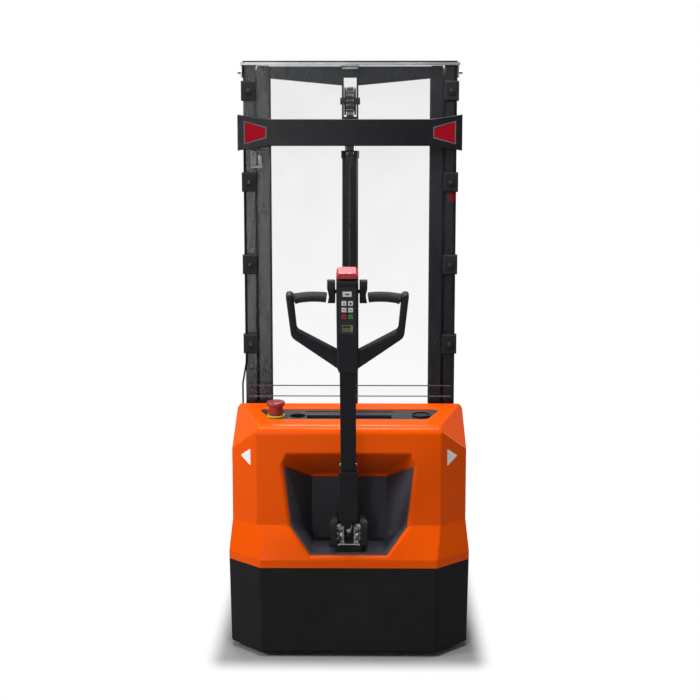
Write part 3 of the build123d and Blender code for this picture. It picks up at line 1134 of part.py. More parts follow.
def tiller_hardware():
    """Pivot pin, the two return springs around it and the bolts that hold the yoke to its column."""
    pin = rod_x(PIVOT_PIN_RADIUS, (-EAR_OUTER, EAR_OUTER), PIVOT_Y, PIVOT_Z)
    coil = PIVOT_PIN_RADIUS + SPRING_WIRE / 2 + GAP
    pitch = SPRING_WIRE + SEAM
    start = KNUCKLE_WIDTH / 2 + SPRING_WIRE / 2 + SEAM
    path = Pos(start, PIVOT_Y, PIVOT_Z) * Rot(0, 90, 0) * Helix(pitch, pitch * SPRING_TURNS, coil)
    section = Plane(path @ 0, z_dir=path % 0) * Circle(SPRING_WIRE / 2)
    spring = sweep(section, path=path, is_frenet=True)
    web = PIVOT_Y + KNUCKLE_RADIUS + EAR_THICKNESS
    bolts = []
    for x in (EAR_INNER - EAR_THICKNESS / 2, EAR_THICKNESS / 2 - EAR_INNER):
        head = Pos(x, web, PIVOT_Z - EAR_RADIUS) * (Plane.XZ * RegularPolygon(PIVOT_PIN_RADIUS, 6))
        bolts.append(extrude(head, amount=SPRING_WIRE, dir=(0, -1, 0)))
    return group(pin, pair(spring), *bolts)


def on_tiller(shape):
    """Carries a piece built upright on the pivot to its place on the leaning tiller."""
    return Pos(0, PIVOT_Y, PIVOT_Z) * Rot(TILLER_LEAN, 0, 0) * shape


def tiller_arm():
    """Box-section arm with a knuckle on the pivot pin."""
    knuckle = rod_x(KNUCKLE_RADIUS, centred(KNUCKLE_WIDTH), 0, 0)
    knuckle += block(centred(KNUCKLE_WIDTH), centred(2 * KNUCKLE_RADIUS), (0, TILLER_FOOT))
    plate = (TILLER_FOOT, TILLER_FOOT + 2 * TILLER_WALL)
    arm = block(centred(TILLER_WIDTH), centred(TILLER_DEPTH), (TILLER_FOOT, ARM_TOP))
    arm = soft_edges(arm, TILLER_WALL, lambda edge: abs(edge.center().Z - (TILLER_FOOT + ARM_TOP) / 2) < SEAM)
    arm -= block(centred(TILLER_WIDTH - 2 * TILLER_WALL), centred(TILLER_DEPTH - 2 * TILLER_WALL),
                 (plate[1], ARM_TOP))
    return on_tiller(knuckle + arm - rod_x(PIVOT_PIN_RADIUS + FIT, centred(KNUCKLE_WIDTH), 0, 0))


def tiller_sleeve():
    """Moulded sleeve around the lower end of the arm, cut off at a slant above."""
    z = (SLEEVE_BOTTOM, SLEEVE_TOP)
    half = SLEEVE_DEPTH / 2
    low = SLEEVE_TOP - SLEEVE_DEPTH * math.tan(math.radians(SLEEVE_SLANT))
    shape = side_slab([(-half, z[0]), (half, z[0]), (half, low), (-half, z[1])], centred(SLEEVE_WIDTH))
    shape = soft_edges(shape, TILLER_WALL, lambda edge: edge.center().Z > SLEEVE_BOTTOM + SEAM)
    core = block(centred(TILLER_WIDTH + 2 * FIT), centred(TILLER_DEPTH + 2 * FIT), z)
    core = soft_edges(core, TILLER_WALL, lambda edge: abs(edge.center().Z - (z[0] + z[1]) / 2) < SEAM)
    return on_tiller(shape - core)


def key_spots():
    """Names, centres and sizes of the keys, seen from the operator's side."""
    half = KEY_PITCH / 2
    mid = KEY_ROW + KEY_ROW_PITCH
    size = (KEY_WIDTH, KEY_HEIGHT)
    return {"horn_key": (0.0, HORN_ALONG, (HORN_WIDTH, HORN_HEIGHT)),
            "raise_key": (-half, KEY_TOP_ROW, size), "fast_key": (half, KEY_TOP_ROW, size),
            "lower_key": (-half, mid, size), "slow_key": (half, mid, size),
            "off_key": (-half, KEY_ROW, size), "on_key": (half, KEY_ROW, size)}


def key_block(spot, grow, y):
    """Block in the outline of a key."""
    x, along, (width, height) = spot
    return Pos(x, 0, along) * block(centred(width + 2 * grow), y, centred(height + 2 * grow))


def key_pockets():
    """Openings for every key through the keypad plate and the face of the head."""
    y = (KEYPAD_FACE - SEAM, HEAD_FACE + HEAD_WALL)
    return Part() + [key_block(spot, GAP, y) for spot in key_spots().values()]


def key(name):
    """One key cap, standing out of the keypad by more than its travel."""
    shape = key_block(key_spots()[name], 0, (KEYPAD_FACE - KEY_STAND, HEAD_FACE + KEY_STAND))
    shape = soft_edges(shape, KEY_TRAVEL / 2, lambda edge: edge.center().Y < KEYPAD_FACE - KEY_STAND + FIT)
    return on_tiller(shape)


def loop_face():
    """Right-hand guard loop seen from behind: a thick arm out of the head, then a limb up to the grip."""
    root = HEAD_WIDTH / 3
    out = GRIP_OUTER_X + LOOP_REACH
    top = GRIP_ALONG + LOOP_TOP
    bend = (out - LOOP_BEND_INSET, GRIP_ALONG - LOOP_BEND_DROP)
    inner = (out - LOOP_LIMB - LOOP_INNER_INSET, GRIP_ALONG - LOOP_INNER_DROP)
    face = Polygon((root, HEAD_BOTTOM), bend, (out, top), (out - LOOP_LIMB, top), inner,
                   (root, HEAD_BOTTOM + LOOP_ROOT), align=None)
    rounds = ((bend, LOOP_BEND_ROUND), (inner, LOOP_INNER_ROUND), ((out, top), LOOP_EDGE_ROUND),
              ((out - LOOP_LIMB, top), LOOP_EDGE_ROUND))
    for (x, along), radius in rounds:
        corner = face.vertices().filter_by(lambda point: math.hypot(point.X - x, point.Y - along) < SEAM)
        face = fillet(corner, radius)
    return face


def grip_path(start_x):
    """Gently arched line of the right grip, from near the head outwards."""
    middle = (start_x + GRIP_OUTER_X) / 2
    return ThreePointArc((start_x, 0, GRIP_ALONG), (middle, 0, GRIP_ALONG + GRIP_ARCH),
                         (GRIP_OUTER_X, 0, GRIP_ALONG - GRIP_DROOP))


def grip_bar(radius, start_x):
    """Round bar along the line of the right grip."""
    path = grip_path(start_x)
    return sweep(Plane(path @ 0, z_dir=path % 0) * Circle(radius), path=path)


def loop_and_core():
    """Right-hand guard loop with the core of the grip standing in from its end."""
    loop = Pos(0, -LOOP_DEPTH / 2, 0) * extrude(Plane.XZ * loop_face(), amount=LOOP_DEPTH, dir=(0, 1, 0))
    loop = soft_edges(loop, HEAD_ROUND, lambda edge: abs(edge.center().Y) > LOOP_DEPTH / 2 - SEAM
                      and edge.center().X > HEAD_WIDTH / 3 + SEAM)
    return loop + grip_bar(GRIP_CORE_RADIUS, GRIP_INNER_X + HEAD_WALL)


def tiller_head():
    """Hollow moulded head with a guard loop and a grip core on each side, and a neck for the belly button."""
    right = [(TILLER_WIDTH / 2 + 2 * SEAM, HEAD_BOTTOM), (HEAD_WIDTH / 2, HEAD_NECK),
             (HEAD_WIDTH / 2, BUTTERFLY_ALONG), (HEAD_TOP_WIDTH / 2, HEAD_TOP)]
    body = rear_slab(symmetric(right), centred(HEAD_DEPTH))
    body = soft_edges(body, HEAD_ROUND, lambda edge: abs(edge.center().Y) > HEAD_DEPTH / 2 - SEAM)
    side = loop_and_core()
    neck = block(centred(BELLY_TOP_WIDTH - 3 * BELLY_WALL), centred(BELLY_DEPTH - 4 * BELLY_WALL),
                 (HEAD_TOP - HEAD_WALL, HEAD_TOP + BELLY_HEIGHT / 2))
    body += side + mirrored(side) + neck
    body -= block(centred(TILLER_WIDTH + 2 * FIT), centred(TILLER_DEPTH + 2 * FIT),
                  (HEAD_BOTTOM, ARM_TOP + FIT))
    body -= block(centred(HEAD_WIDTH - 2 * HEAD_WALL), centred(HEAD_DEPTH - 2 * HEAD_WALL),
                  (ARM_TOP + HEAD_WALL, HEAD_TOP - HEAD_WALL))
    body -= key_pockets()
    body -= rod_x(BUTTERFLY_SHAFT_RADIUS + FIT, centred(2 * HEAD_WIDTH), BUTTERFLY_Y, BUTTERFLY_ALONG)
    return on_tiller(body)


def handle_grips():
    """Two rubber grips pushed over the cores from their inner ends."""
    end = GRIP_OUTER_X - GRIP_RADIUS
    sleeve = grip_bar(GRIP_RADIUS, GRIP_INNER_X)
    sleeve = soft_edges(sleeve, HEAD_WALL / 2, lambda edge: edge.center().X < GRIP_INNER_X + HEAD_WALL)
    sleeve &= block((0, end), centred(4 * GRIP_RADIUS),
                    (GRIP_ALONG - 4 * GRIP_RADIUS, GRIP_ALONG + 4 * GRIP_RADIUS))
    sleeve -= loop_and_core()
    return group(on_tiller(sleeve), on_tiller(mirrored(sleeve)))


def keypad_plate():
    """Rounded plate on the face of the head, with openings for the keys and the display."""
    middle = (KEYPAD_BOTTOM + KEYPAD_TOP) / 2
    shape = Pos(0, 0, middle) * block(centred(KEYPAD_WIDTH), (KEYPAD_FACE, HEAD_FACE),
                                      centred(KEYPAD_TOP - KEYPAD_BOTTOM))
    corner = shape.edges().filter_by(Axis.Y)
    shape = fillet(corner, KEY_WIDTH / 2)
    return on_tiller(shape - key_pockets() - display_block(FIT))


def display_block(grow):
    """Block of the display in its window."""
    y = (KEYPAD_FACE - SEAM / 2, HEAD_FACE)
    return Pos(0, 0, DISPLAY_ALONG) * block(centred(DISPLAY_WIDTH + 2 * grow), y,
                                            centred(DISPLAY_HEIGHT + 2 * grow))


def display():
    """Display window of the keypad."""
    return on_tiller(display_block(0))


def thumb_butterfly():
    """Rocker with a thumb wing on each side of the head, on one shaft through it."""
    ellipse = Plane.YZ * Ellipse(BUTTERFLY_HALF_DEPTH, BUTTERFLY_HALF_HEIGHT)
    wing = extrude(ellipse, amount=BUTTERFLY_OUTER_X - BUTTERFLY_INNER_X, dir=(1, 0, 0))
    wing = fillet(wing.edges(), 2 * BELLY_WALL / 3)
    wing = Pos(BUTTERFLY_INNER_X, BUTTERFLY_Y, BUTTERFLY_ALONG) * wing
    wing -= rod_y(BUTTERFLY_SCOOP_RADIUS, BUTTERFLY_OUTER_X - BUTTERFLY_SCOOP + BUTTERFLY_SCOOP_RADIUS,
                  centred(HEAD_DEPTH), BUTTERFLY_ALONG - BUTTERFLY_SCOOP_DROP)
    shaft = rod_x(BUTTERFLY_SHAFT_RADIUS, centred(2 * BUTTERFLY_INNER_X + 2 * BELLY_WALL), BUTTERFLY_Y,
                  BUTTERFLY_ALONG)
    return on_tiller(wing + mirrored(wing) + shaft)


def belly_button():
    """Red cap over the neck of the head, with room below it to be pushed in."""
    low = HEAD_TOP + BELLY_TRAVEL + SEAM
    top = HEAD_TOP + BELLY_TRAVEL + BELLY_HEIGHT
    half = HEAD_TOP_WIDTH / 2
    outline = [(half, low), (half - SEAM, low + BELLY_HEIGHT / 2), (BELLY_TOP_WIDTH / 2, top)]
    cap = rear_slab(symmetric(outline), centred(BELLY_DEPTH))
    cap = soft_edges(cap, BELLY_WALL, lambda edge: edge.center().Z > low + SEAM)
    neck_top = HEAD_TOP + BELLY_HEIGHT / 2 + BELLY_TRAVEL + 2 * SEAM
    cap -= block(centred(BELLY_TOP_WIDTH - 3 * BELLY_WALL + 2 * GAP),
                 centred(BELLY_DEPTH - 4 * BELLY_WALL + 2 * GAP), (low, neck_top))
    return on_tiller(cap)


def all_nodes():
    """Every node of the truck with its shape, in the frame measured from the skirt's rear face."""
    nodes = {
        "chassis_frame": chassis_frame(),
        "support_legs": pair(support_leg()),
        "lower_skirt": lower_skirt(),
        "hood": hood(),
        "recess_liner": recess_liner(),
        "dash_tray": dash_tray(),
        "estop_collar": estop_collar(),
        "estop_button": estop_button(),
        "charger_inlet": charger_inlet(),
        "slewing_ring": slewing_ring(),
        "batteries": batteries(),
        "hydraulic_unit": hydraulic_unit(),
        "motor_controller": motor_controller(),
        "drive_turret": drive_turret(),
        "drive_wheel": drive_wheel(),
        "castor_fork_right": castor_fork(),
        "castor_fork_left": mirrored(castor_fork()),
        "castor_wheel_right": castor_wheel(),
        "castor_wheel_left": mirrored(castor_wheel()),
        "load_wheel_right": load_wheel(),
        "load_wheel_left": mirrored(load_wheel()),
        "outer_mast_frame": outer_mast_frame(),
        "inner_mast_frame": inner_mast_frame(),
        "outer_mast_rollers": roller_pair(OUTER_ROLLER_X, OUTER_ROLLER_Z),
        "inner_mast_rollers": roller_pair(INNER_ROLLER_X, INNER_ROLLER_Z),
        "carriage_rollers_low": roller_pair(CARRIAGE_ROLLER_X, CARRIAGE_ROLLER_LOW),
        "carriage_rollers_high": roller_pair(CARRIAGE_ROLLER_X, CARRIAGE_ROLLER_HIGH),
        "cylinder_barrel": cylinder_barrel(),
        "lift_rod": lift_rod(),
        "pulley_yoke": pulley_yoke(),
        "chain_pulley": chain_pulley(),
        "chain_wrap": chain_wrap(),
        "chain_rear_strand": chain_strand(REAR_STRAND_Y, (CHAIN_ANCHOR_Z, PULLEY_Z)),
        "chain_front_strand": chain_strand(FRONT_STRAND_Y, (CHAIN_HITCH_Z, PULLEY_Z)),
        "carriage_frame": carriage_frame(),
        "forks": pair(fork()),
        "guard_panels": guard_panels(),
        "guard_clips": guard_clips(),
        "guard_rail": guard_rail(),
        "reflector_bar": reflector_bar(),
        "reflectors": reflectors(),
        "limit_switch": limit_switch(),
        "mast_hose": mast_hose(),
        "tiller_yoke": tiller_yoke(),
        "tiller_hardware": tiller_hardware(),
        "tiller_arm": tiller_arm(),
        "tiller_sleeve": tiller_sleeve(),
        "tiller_head": tiller_head(),
        "handle_grips": handle_grips(),
        "keypad_plate": keypad_plate(),
        "display": display(),
        "thumb_butterfly": thumb_butterfly(),
        "belly_button": belly_button(),
    }
    for name in key_spots():
        nodes[name] = key(name)
    return nodes


def main():
    """Slides the truck along Y so that its overall box is centred on the origin, and writes every node."""
    nodes = all_nodes()
    overall = Compound([solid for shape in nodes.values() for solid in shape.solids()]).bounding_box()
    shift = Pos(0, -(overall.min.Y + overall.max.Y) / 2, 0)
    os.makedirs("parts", exist_ok=True)
    for name, shape in nodes.items():
        export_step(shift * shape, f"parts/{name}.step")


if __name__ == "__main__":
    main()
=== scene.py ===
import json
import math

import bmesh
import bpy
from mathutils import Matrix, Vector


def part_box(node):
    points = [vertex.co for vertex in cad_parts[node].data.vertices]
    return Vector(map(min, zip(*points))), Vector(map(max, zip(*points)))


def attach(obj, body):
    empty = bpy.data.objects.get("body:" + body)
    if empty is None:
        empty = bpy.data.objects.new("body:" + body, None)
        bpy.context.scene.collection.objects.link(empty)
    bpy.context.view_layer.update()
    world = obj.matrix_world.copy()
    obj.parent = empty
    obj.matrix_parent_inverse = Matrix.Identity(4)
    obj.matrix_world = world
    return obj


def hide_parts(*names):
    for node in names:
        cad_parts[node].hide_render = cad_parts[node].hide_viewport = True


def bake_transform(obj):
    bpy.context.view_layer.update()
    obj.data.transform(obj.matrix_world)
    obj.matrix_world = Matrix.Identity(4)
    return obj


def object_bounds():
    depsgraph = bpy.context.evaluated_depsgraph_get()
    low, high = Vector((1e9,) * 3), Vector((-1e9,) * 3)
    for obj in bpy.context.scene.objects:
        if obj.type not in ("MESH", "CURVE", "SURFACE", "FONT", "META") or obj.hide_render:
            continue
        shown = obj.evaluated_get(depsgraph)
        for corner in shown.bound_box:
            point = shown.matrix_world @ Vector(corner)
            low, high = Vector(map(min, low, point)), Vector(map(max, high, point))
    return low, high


# Looks of the pallet stacker, in metres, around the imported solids.
# X is the operator's right, Y points to the fork tips, Z is up.

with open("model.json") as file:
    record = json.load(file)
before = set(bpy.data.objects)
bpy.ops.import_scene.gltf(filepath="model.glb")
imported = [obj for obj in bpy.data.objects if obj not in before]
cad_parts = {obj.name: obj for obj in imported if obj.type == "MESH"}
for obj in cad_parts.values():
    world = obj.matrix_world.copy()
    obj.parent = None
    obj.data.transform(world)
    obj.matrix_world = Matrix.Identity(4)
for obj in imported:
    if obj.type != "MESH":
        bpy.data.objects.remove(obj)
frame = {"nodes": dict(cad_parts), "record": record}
cad_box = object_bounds()
nodes = frame["nodes"]

# Sizes of pieces are in millimetres, or in metres where they carry MM.
MM = 0.001
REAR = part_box("lower_skirt")[0].y


# Materials: scales in patterns per metre, heights of grain in metres

CLOUD_SCALE, CLOUD_DETAIL = 5.0, 5.0
WEAR_SCALE, WEAR_DETAIL, WEAR_SPAN = 38.0, 7.0, (0.3, 0.7)
MARK_DETAIL, MARK_EDGE = 8.0, 0.06
FILM_DETAIL, FILM_SPAN = 6.0, (0.45, 0.8)
COAT_ROUGHNESS = 0.08
RISING = (0.0, 1.0)
FALLING = (1.0, 0.0)

# Sockets of a mix node in its colour mode
MIX_FIRST, MIX_SECOND, MIX_RESULT = 6, 7, 2


def colour_of(text, gain=1.0):
    """Linear colour of a hexadecimal screen colour, made lighter or darker by a gain."""
    channels = []
    for start in (1, 3, 5):
        value = int(text[start:start + 2], 16) / 255
        value = value / 12.92 if value <= 0.04045 else ((value + 0.055) / 1.055) ** 2.4
        channels.append(min(1.0, value * gain))
    return (*channels, 1.0)


class Finish:
    """Procedural material built in layers: drifting colour, varying roughness, grain, marks of use."""

    def __init__(self, name, colour, drift=0.1, rough=(0.4, 0.55), stretch=(1, 1, 1), metallic=0.0, coat=0.0,
                 specular=0.5):
        self.material = bpy.data.materials.new(name)
        self.material.use_nodes = True
        self.tree = self.material.node_tree
        self.shader = self.tree.nodes["Principled BSDF"]
        self.shader.inputs["Metallic"].default_value = metallic
        self.shader.inputs["Specular IOR Level"].default_value = specular
        self.shader.inputs["Coat Weight"].default_value = coat
        self.shader.inputs["Coat Roughness"].default_value = COAT_ROUGHNESS
        self.coords = self.tree.nodes.new("ShaderNodeTexCoord").outputs["Object"]
        place = self.tree.nodes.new("ShaderNodeMapping")
        place.inputs["Scale"].default_value = stretch
        self.link(self.coords, place.inputs["Vector"])
        self.place = place.outputs["Vector"]
        self.height = None
        cloud = self.noise(CLOUD_SCALE, detail=CLOUD_DETAIL)
        self.colour = self.mix(cloud, colour_of(colour, 1 - drift), colour_of(colour, 1 + drift))
        self.rough = self.remap(self.noise(WEAR_SCALE, detail=WEAR_DETAIL), WEAR_SPAN, rough)
        self.close()

    def link(self, source, target):
        self.tree.links.new(source, target)

    def close(self):
        """Connects the layers so far to the shader."""
        self.link(self.colour, self.shader.inputs["Base Color"])
        self.link(self.rough, self.shader.inputs["Roughness"])

    def noise(self, scale, detail=3.0, plain=False):
        """Soft cloud pattern, on the stretched coordinates unless plain."""
        made = self.tree.nodes.new("ShaderNodeTexNoise")
        made.inputs["Scale"].default_value = scale
        made.inputs["Detail"].default_value = detail
        self.link(self.coords if plain else self.place, made.inputs["Vector"])
        return made.outputs["Fac"]

    def cells(self, scale):
        """Small rounded cells."""
        made = self.tree.nodes.new("ShaderNodeTexVoronoi")
        made.inputs["Scale"].default_value = scale
        self.link(self.place, made.inputs["Vector"])
        return made.outputs["Distance"]

    def bands(self, axis, scale):
        """Even bands across one axis."""
        made = self.tree.nodes.new("ShaderNodeTexWave")
        made.bands_direction = axis
        made.inputs["Scale"].default_value = scale
        self.link(self.place, made.inputs["Vector"])
        return made.outputs["Fac"]

    def remap(self, value, source, target):
        """Carries a range of values to another range, clamped."""
        made = self.tree.nodes.new("ShaderNodeMapRange")
        made.inputs["From Min"].default_value, made.inputs["From Max"].default_value = source
        made.inputs["To Min"].default_value, made.inputs["To Max"].default_value = target
        self.link(value, made.inputs["Value"])
        return made.outputs["Result"]

    def maths(self, operation, first, second):
        """Arithmetic on two values; the second may be a plain number."""
        made = self.tree.nodes.new("ShaderNodeMath")
        made.operation = operation
        self.link(first, made.inputs[0])
        if isinstance(second, (int, float)):
            made.inputs[1].default_value = second
        else:
            self.link(second, made.inputs[1])
        return made.outputs["Value"]

    def mix(self, factor, first, second):
        """Colour between two colours, each a socket or a plain colour."""
        made = self.tree.nodes.new("ShaderNodeMix")
        made.data_type = "RGBA"
        self.link(factor, made.inputs["Factor"])
        for value, socket in ((first, made.inputs[MIX_FIRST]), (second, made.inputs[MIX_SECOND])):
            if isinstance(value, tuple):
                socket.default_value = value
            else:
                self.link(value, socket)
        return made.outputs[MIX_RESULT]

    def axis(self, letter):
        """Plain coordinate along one axis of the frame."""
        made = self.tree.nodes.new("ShaderNodeSeparateXYZ")
        self.link(self.coords, made.inputs["Vector"])
        return made.outputs[letter]

    def grain(self, pattern, height):
        """Raises the surface by a pattern, on top of what is there already."""
        made = self.tree.nodes.new("ShaderNodeBump")
        made.inputs["Strength"].default_value = 1.0
        made.inputs["Distance"].default_value = height
        self.link(pattern, made.inputs["Height"])
        if self.height is not None:
            self.link(self.height, made.inputs["Normal"])
        self.height = made.outputs["Normal"]
        self.link(self.height, self.shader.inputs["Normal"])
        return self

    def marks(self, colour, threshold, scale, rough=None, within=None):
        """Scattered marks where a fine cloud is high, fading out over a band of heights if given."""
        mask = self.remap(self.noise(scale, detail=MARK_DETAIL), (threshold, threshold + MARK_EDGE), RISING)
        if within is not None:
            mask = self.maths("MULTIPLY", mask, self.remap(self.axis("Z"), within, FALLING))
        self.colour = self.mix(mask, self.colour, colour_of(colour))
        if rough is not None:
            gap = self.maths("SUBTRACT", self.rough, rough)
            self.rough = self.maths("SUBTRACT", self.rough, self.maths("MULTIPLY", gap, mask))
        self.close()
        return self

    def film(self, colour, strength, scale=14.0):
        """Thin dusty film that thickens and thins over the surface."""
        veil = self.remap(self.noise(scale, detail=FILM_DETAIL, plain=True), FILM_SPAN, (0.0, strength))
        self.colour = self.mix(veil, self.colour, colour_of(colour))
        self.close()
        return self


def moulded(name, colour, rough=(0.42, 0.58), grain=0.00018, scale=900.0):
    """Moulded plastic with a fine leathery grain and a thin film of dust."""
    finish = Finish(name, colour, drift=0.12, rough=rough, specular=0.2)
    finish.grain(finish.cells(scale), grain)
    finish.grain(finish.noise(60.0), grain)
    return finish.film("#6d6a66", 0.05).material


def painted(name, colour, rough=(0.34, 0.5), chips="#77756f", threshold=0.74, specular=0.22):
    """Coated steel, also drawn dark as painted shade on the rollers: fine orange peel, streaks along the
    height, small chips.
    """
    finish = Finish(name, colour, drift=0.14, rough=rough, stretch=(1, 1, 0.25), specular=specular)
    finish.grain(finish.noise(520.0, plain=True), 0.00012)
    finish.grain(finish.noise(28.0), 0.0003)
    return finish.marks(chips, threshold, 46.0, rough=0.6).material


def plated(name, colour, rough=(0.22, 0.42), stretch=(1, 1, 1)):
    """Bare or plated metal with a directional brush and cloudy staining."""
    finish = Finish(name, colour, drift=0.12, rough=rough, stretch=stretch, metallic=1.0)
    finish.grain(finish.noise(700.0), 0.00006)
    return finish.film("#6a6258", 0.18, scale=40.0).material


def glossy(name, colour, rough=(0.2, 0.32), coat=0.3):
    """Smooth moulded colour with a light polish and faint handling marks."""
    finish = Finish(name, colour, drift=0.07, rough=rough, coat=coat)
    finish.grain(finish.noise(300.0), 0.00005)
    return finish.film("#c9c2b8", 0.05, scale=60.0).material


def hood_paint():
    """Glossy orange with orange peel, faint clouding and dust where it meets the skirt."""
    finish = Finish("hood_orange", "#f25702", drift=0.04, rough=(0.17, 0.24), specular=0.1)
    finish.grain(finish.noise(240.0), 0.00005)
    finish.grain(finish.noise(3.5), 0.0008)
    return finish.marks("#8c8378", 0.72, 90.0, rough=0.6, within=(0.31, 0.4)).material


def skirt_plastic():
    """Black moulded skirt, scuffed towards the floor."""
    finish = Finish("skirt_black", "#1b1b1d", drift=0.16, rough=(0.45, 0.62), specular=0.15)
    finish.grain(finish.cells(700.0), 0.00025)
    finish.film("#57534d", 0.06)
    return finish.marks("#2a2928", 0.66, 34.0, rough=0.75, within=(0.03, 0.2)).material


def tread():
    """Polyurethane tread with a lightly ground running face."""
    finish = Finish("tread_dark", "#3a3836", drift=0.2, rough=(0.5, 0.75), specular=0.25)
    finish.grain(finish.noise(420.0), 0.0003)
    return finish.marks("#7d776d", 0.6, 55.0, rough=0.8).material


def grip_rubber():
    """Grip rubber with close ribs around the handle."""
    finish = Finish("grip_rubber", "#343437", drift=0.15, rough=(0.45, 0.6), specular=0.3)
    finish.grain(finish.bands("X", 120.0), 0.0006)
    finish.grain(finish.noise(900.0), 0.0001)
    return finish.film("#5a5651", 0.08).material


def reflector_plastic():
    """Red reflector with small prisms behind a clear face, each prism cell painted darker towards its edge
    as the shade of its facets.
    """
    finish = Finish("reflector_red", "#b0001c", drift=0.1, rough=(0.3, 0.4), specular=0.12)
    prisms = finish.cells(330.0)
    finish.grain(prisms, 0.0006)
    # Darker red towards the edge of each prism cell: painted shade of the facets.
    prism_facet_shade = finish.remap(prisms, (0.1, 0.7), RISING)
    finish.colour = finish.mix(prism_facet_shade, finish.colour, colour_of("#7a0012"))
    finish.close()
    return finish.material


PANEL_TINT_HEIGHTS = (0.8, 1.9)
PANEL_TINT = (0.02, 0.11)
PANEL_EDGE_TINT = 0.75


def clear_panel():
    """Clear guard panel: a faint grey tint, cloudy handling marks, darker along its cut edges."""
    finish = Finish("guard_clear", "#5a5e60", drift=0.05, rough=(0.04, 0.12), specular=0.3)
    facing = finish.tree.nodes.new("ShaderNodeSeparateXYZ")
    made = finish.tree.nodes.new("ShaderNodeTexCoord")
    finish.link(made.outputs["Normal"], facing.inputs["Vector"])
    edge = finish.remap(finish.maths("ABSOLUTE", facing.outputs["Y"], 0.0), (0.4, 0.6), FALLING)
    haze = finish.remap(finish.noise(6.0, detail=8.0), (0.35, 0.75), (0.8, 1.2))
    haze = finish.maths("MULTIPLY", haze, finish.remap(finish.axis("Z"), PANEL_TINT_HEIGHTS, PANEL_TINT))
    veil = finish.maths("MAXIMUM", haze, finish.maths("MULTIPLY", edge, PANEL_EDGE_TINT))
    finish.colour = finish.mix(edge, finish.colour, colour_of("#4b5250"))
    finish.close()
    finish.grain(finish.noise(2.0), 0.0006)
    finish.link(veil, finish.shader.inputs["Alpha"])
    return finish.material


def display_window():
    """Green-grey display with a fine dot grid behind its window."""
    finish = Finish("display_green", "#66734d", drift=0.06, rough=(0.12, 0.2), coat=0.5)
    grid = finish.maths("MULTIPLY", finish.bands("X", 260.0), finish.bands("Z", 260.0))
    dots = finish.remap(grid, (0.3, 1.0), (0.0, 0.5))
    finish.colour = finish.mix(dots, finish.colour, colour_of("#4a5638"))
    finish.close()
    return finish.material


MATERIALS = {
    "hood_orange": hood_paint(),
    "skirt_black": skirt_plastic(),
    "liner_grey": moulded("liner_grey", "#4a4a52"),
    "tray_grey": moulded("tray_grey", "#2a2a2f"),
    "stop_red": glossy("stop_red", "#963434"),
    "stop_yellow": glossy("stop_yellow", "#dcd61e"),
    "inlet_black": moulded("inlet_black", "#17171a", rough=(0.35, 0.5)),
    "bearing_steel": plated("bearing_steel", "#a9a9ab"),
    "battery_black": moulded("battery_black", "#2e2e30"),
    "unit_grey": painted("unit_grey", "#7b7d80"),
    "controller_alu": plated("controller_alu", "#b9bbbf", rough=(0.35, 0.5)),
    "turret_black": painted("turret_black", "#343437", rough=(0.5, 0.68)),
    "tread_dark": tread(),
    "castor_zinc": plated("castor_zinc", "#b4b6b4"),
    "castor_tread": moulded("castor_tread", "#4a4745", rough=(0.5, 0.7)),
    # Dark roller steel, also on the roller caps: on the rollers, seen in the slit between the uprights, it
    # is painted shade.
    "roller_steel": painted("roller_steel", "#1c1b1c", rough=(0.4, 0.52), chips="#2c2b2a"),
    "mast_steel": painted("mast_steel", "#10111a", rough=(0.22, 0.3), chips="#3c3b39", specular=0.5),
    "black_steel": painted("black_steel", "#2b2b2f", threshold=0.7),
    "barrel_black": painted("barrel_black", "#0d0d13", rough=(0.2, 0.3), specular=0.32),
    "rod_chrome": plated("rod_chrome", "#d4d5d8", rough=(0.06, 0.14), stretch=(1, 1, 20)),
    "chain_steel": plated("chain_steel", "#4a4a4e", rough=(0.3, 0.48)),
    "guard_clear": clear_panel(),
    "clip_black": moulded("clip_black", "#202023"),
    "zinc": plated("zinc", "#cfd6d4", stretch=(0.2, 1, 1)),
    "bar_black": painted("bar_black", "#0e0e13", rough=(0.28, 0.36), specular=0.3),
    "reflector_red": reflector_plastic(),
    "switch_grey": plated("switch_grey", "#8f939a", rough=(0.3, 0.5)),
    "hose_black": moulded("hose_black", "#18181a", rough=(0.45, 0.6)),
    "yoke_black": painted("yoke_black", "#1c1c1f", rough=(0.42, 0.6)),
    "arm_black": painted("arm_black", "#222228", rough=(0.38, 0.5)),
    "sleeve_black": moulded("sleeve_black", "#242429"),
    "head_black": moulded("head_black", "#2a2a30", rough=(0.38, 0.5)),
    "grip_rubber": grip_rubber(),
    "keypad_grey": moulded("keypad_grey", "#39393d", scale=1500.0),
    "display_green": display_window(),
    "butterfly_black": moulded("butterfly_black", "#222225", rough=(0.34, 0.46)),
    "belly_red": glossy("belly_red", "#d03a42"),
    "key_white": glossy("key_white", "#fafafe"),
    "key_red": glossy("key_red", "#cc2033"),
    "key_green": glossy("key_green", "#2fa04a"),
}

# Pins in a pale steel: partly their own bright metal, partly a painted highlight of light from above.
CHAIN_PIN_HIGHLIGHT = plated("chain_pin_highlight", "#d8dadc", rough=(0.2, 0.3))
MARK_WHITE = glossy("mark_white", "#fcfcfe", coat=0.0)
MARK_DARK = moulded("mark_dark", "#2c2c34", scale=2000.0)
MARK_RED = moulded("mark_red", "#8f1020", scale=2000.0)
MARK_GREEN = moulded("mark_green", "#1c6a30", scale=2000.0)
DISPLAY_INK = moulded("display_ink", "#2d331f", rough=(0.2, 0.3), scale=2000.0)
DISPLAY_PALE = moulded("display_pale", "#8d9a63", rough=(0.2, 0.3), scale=2000.0)
TRIM_DARK = moulded("trim_dark", "#4c4f50")
TRIM_PALE = moulded("trim_pale", "#8f9494")
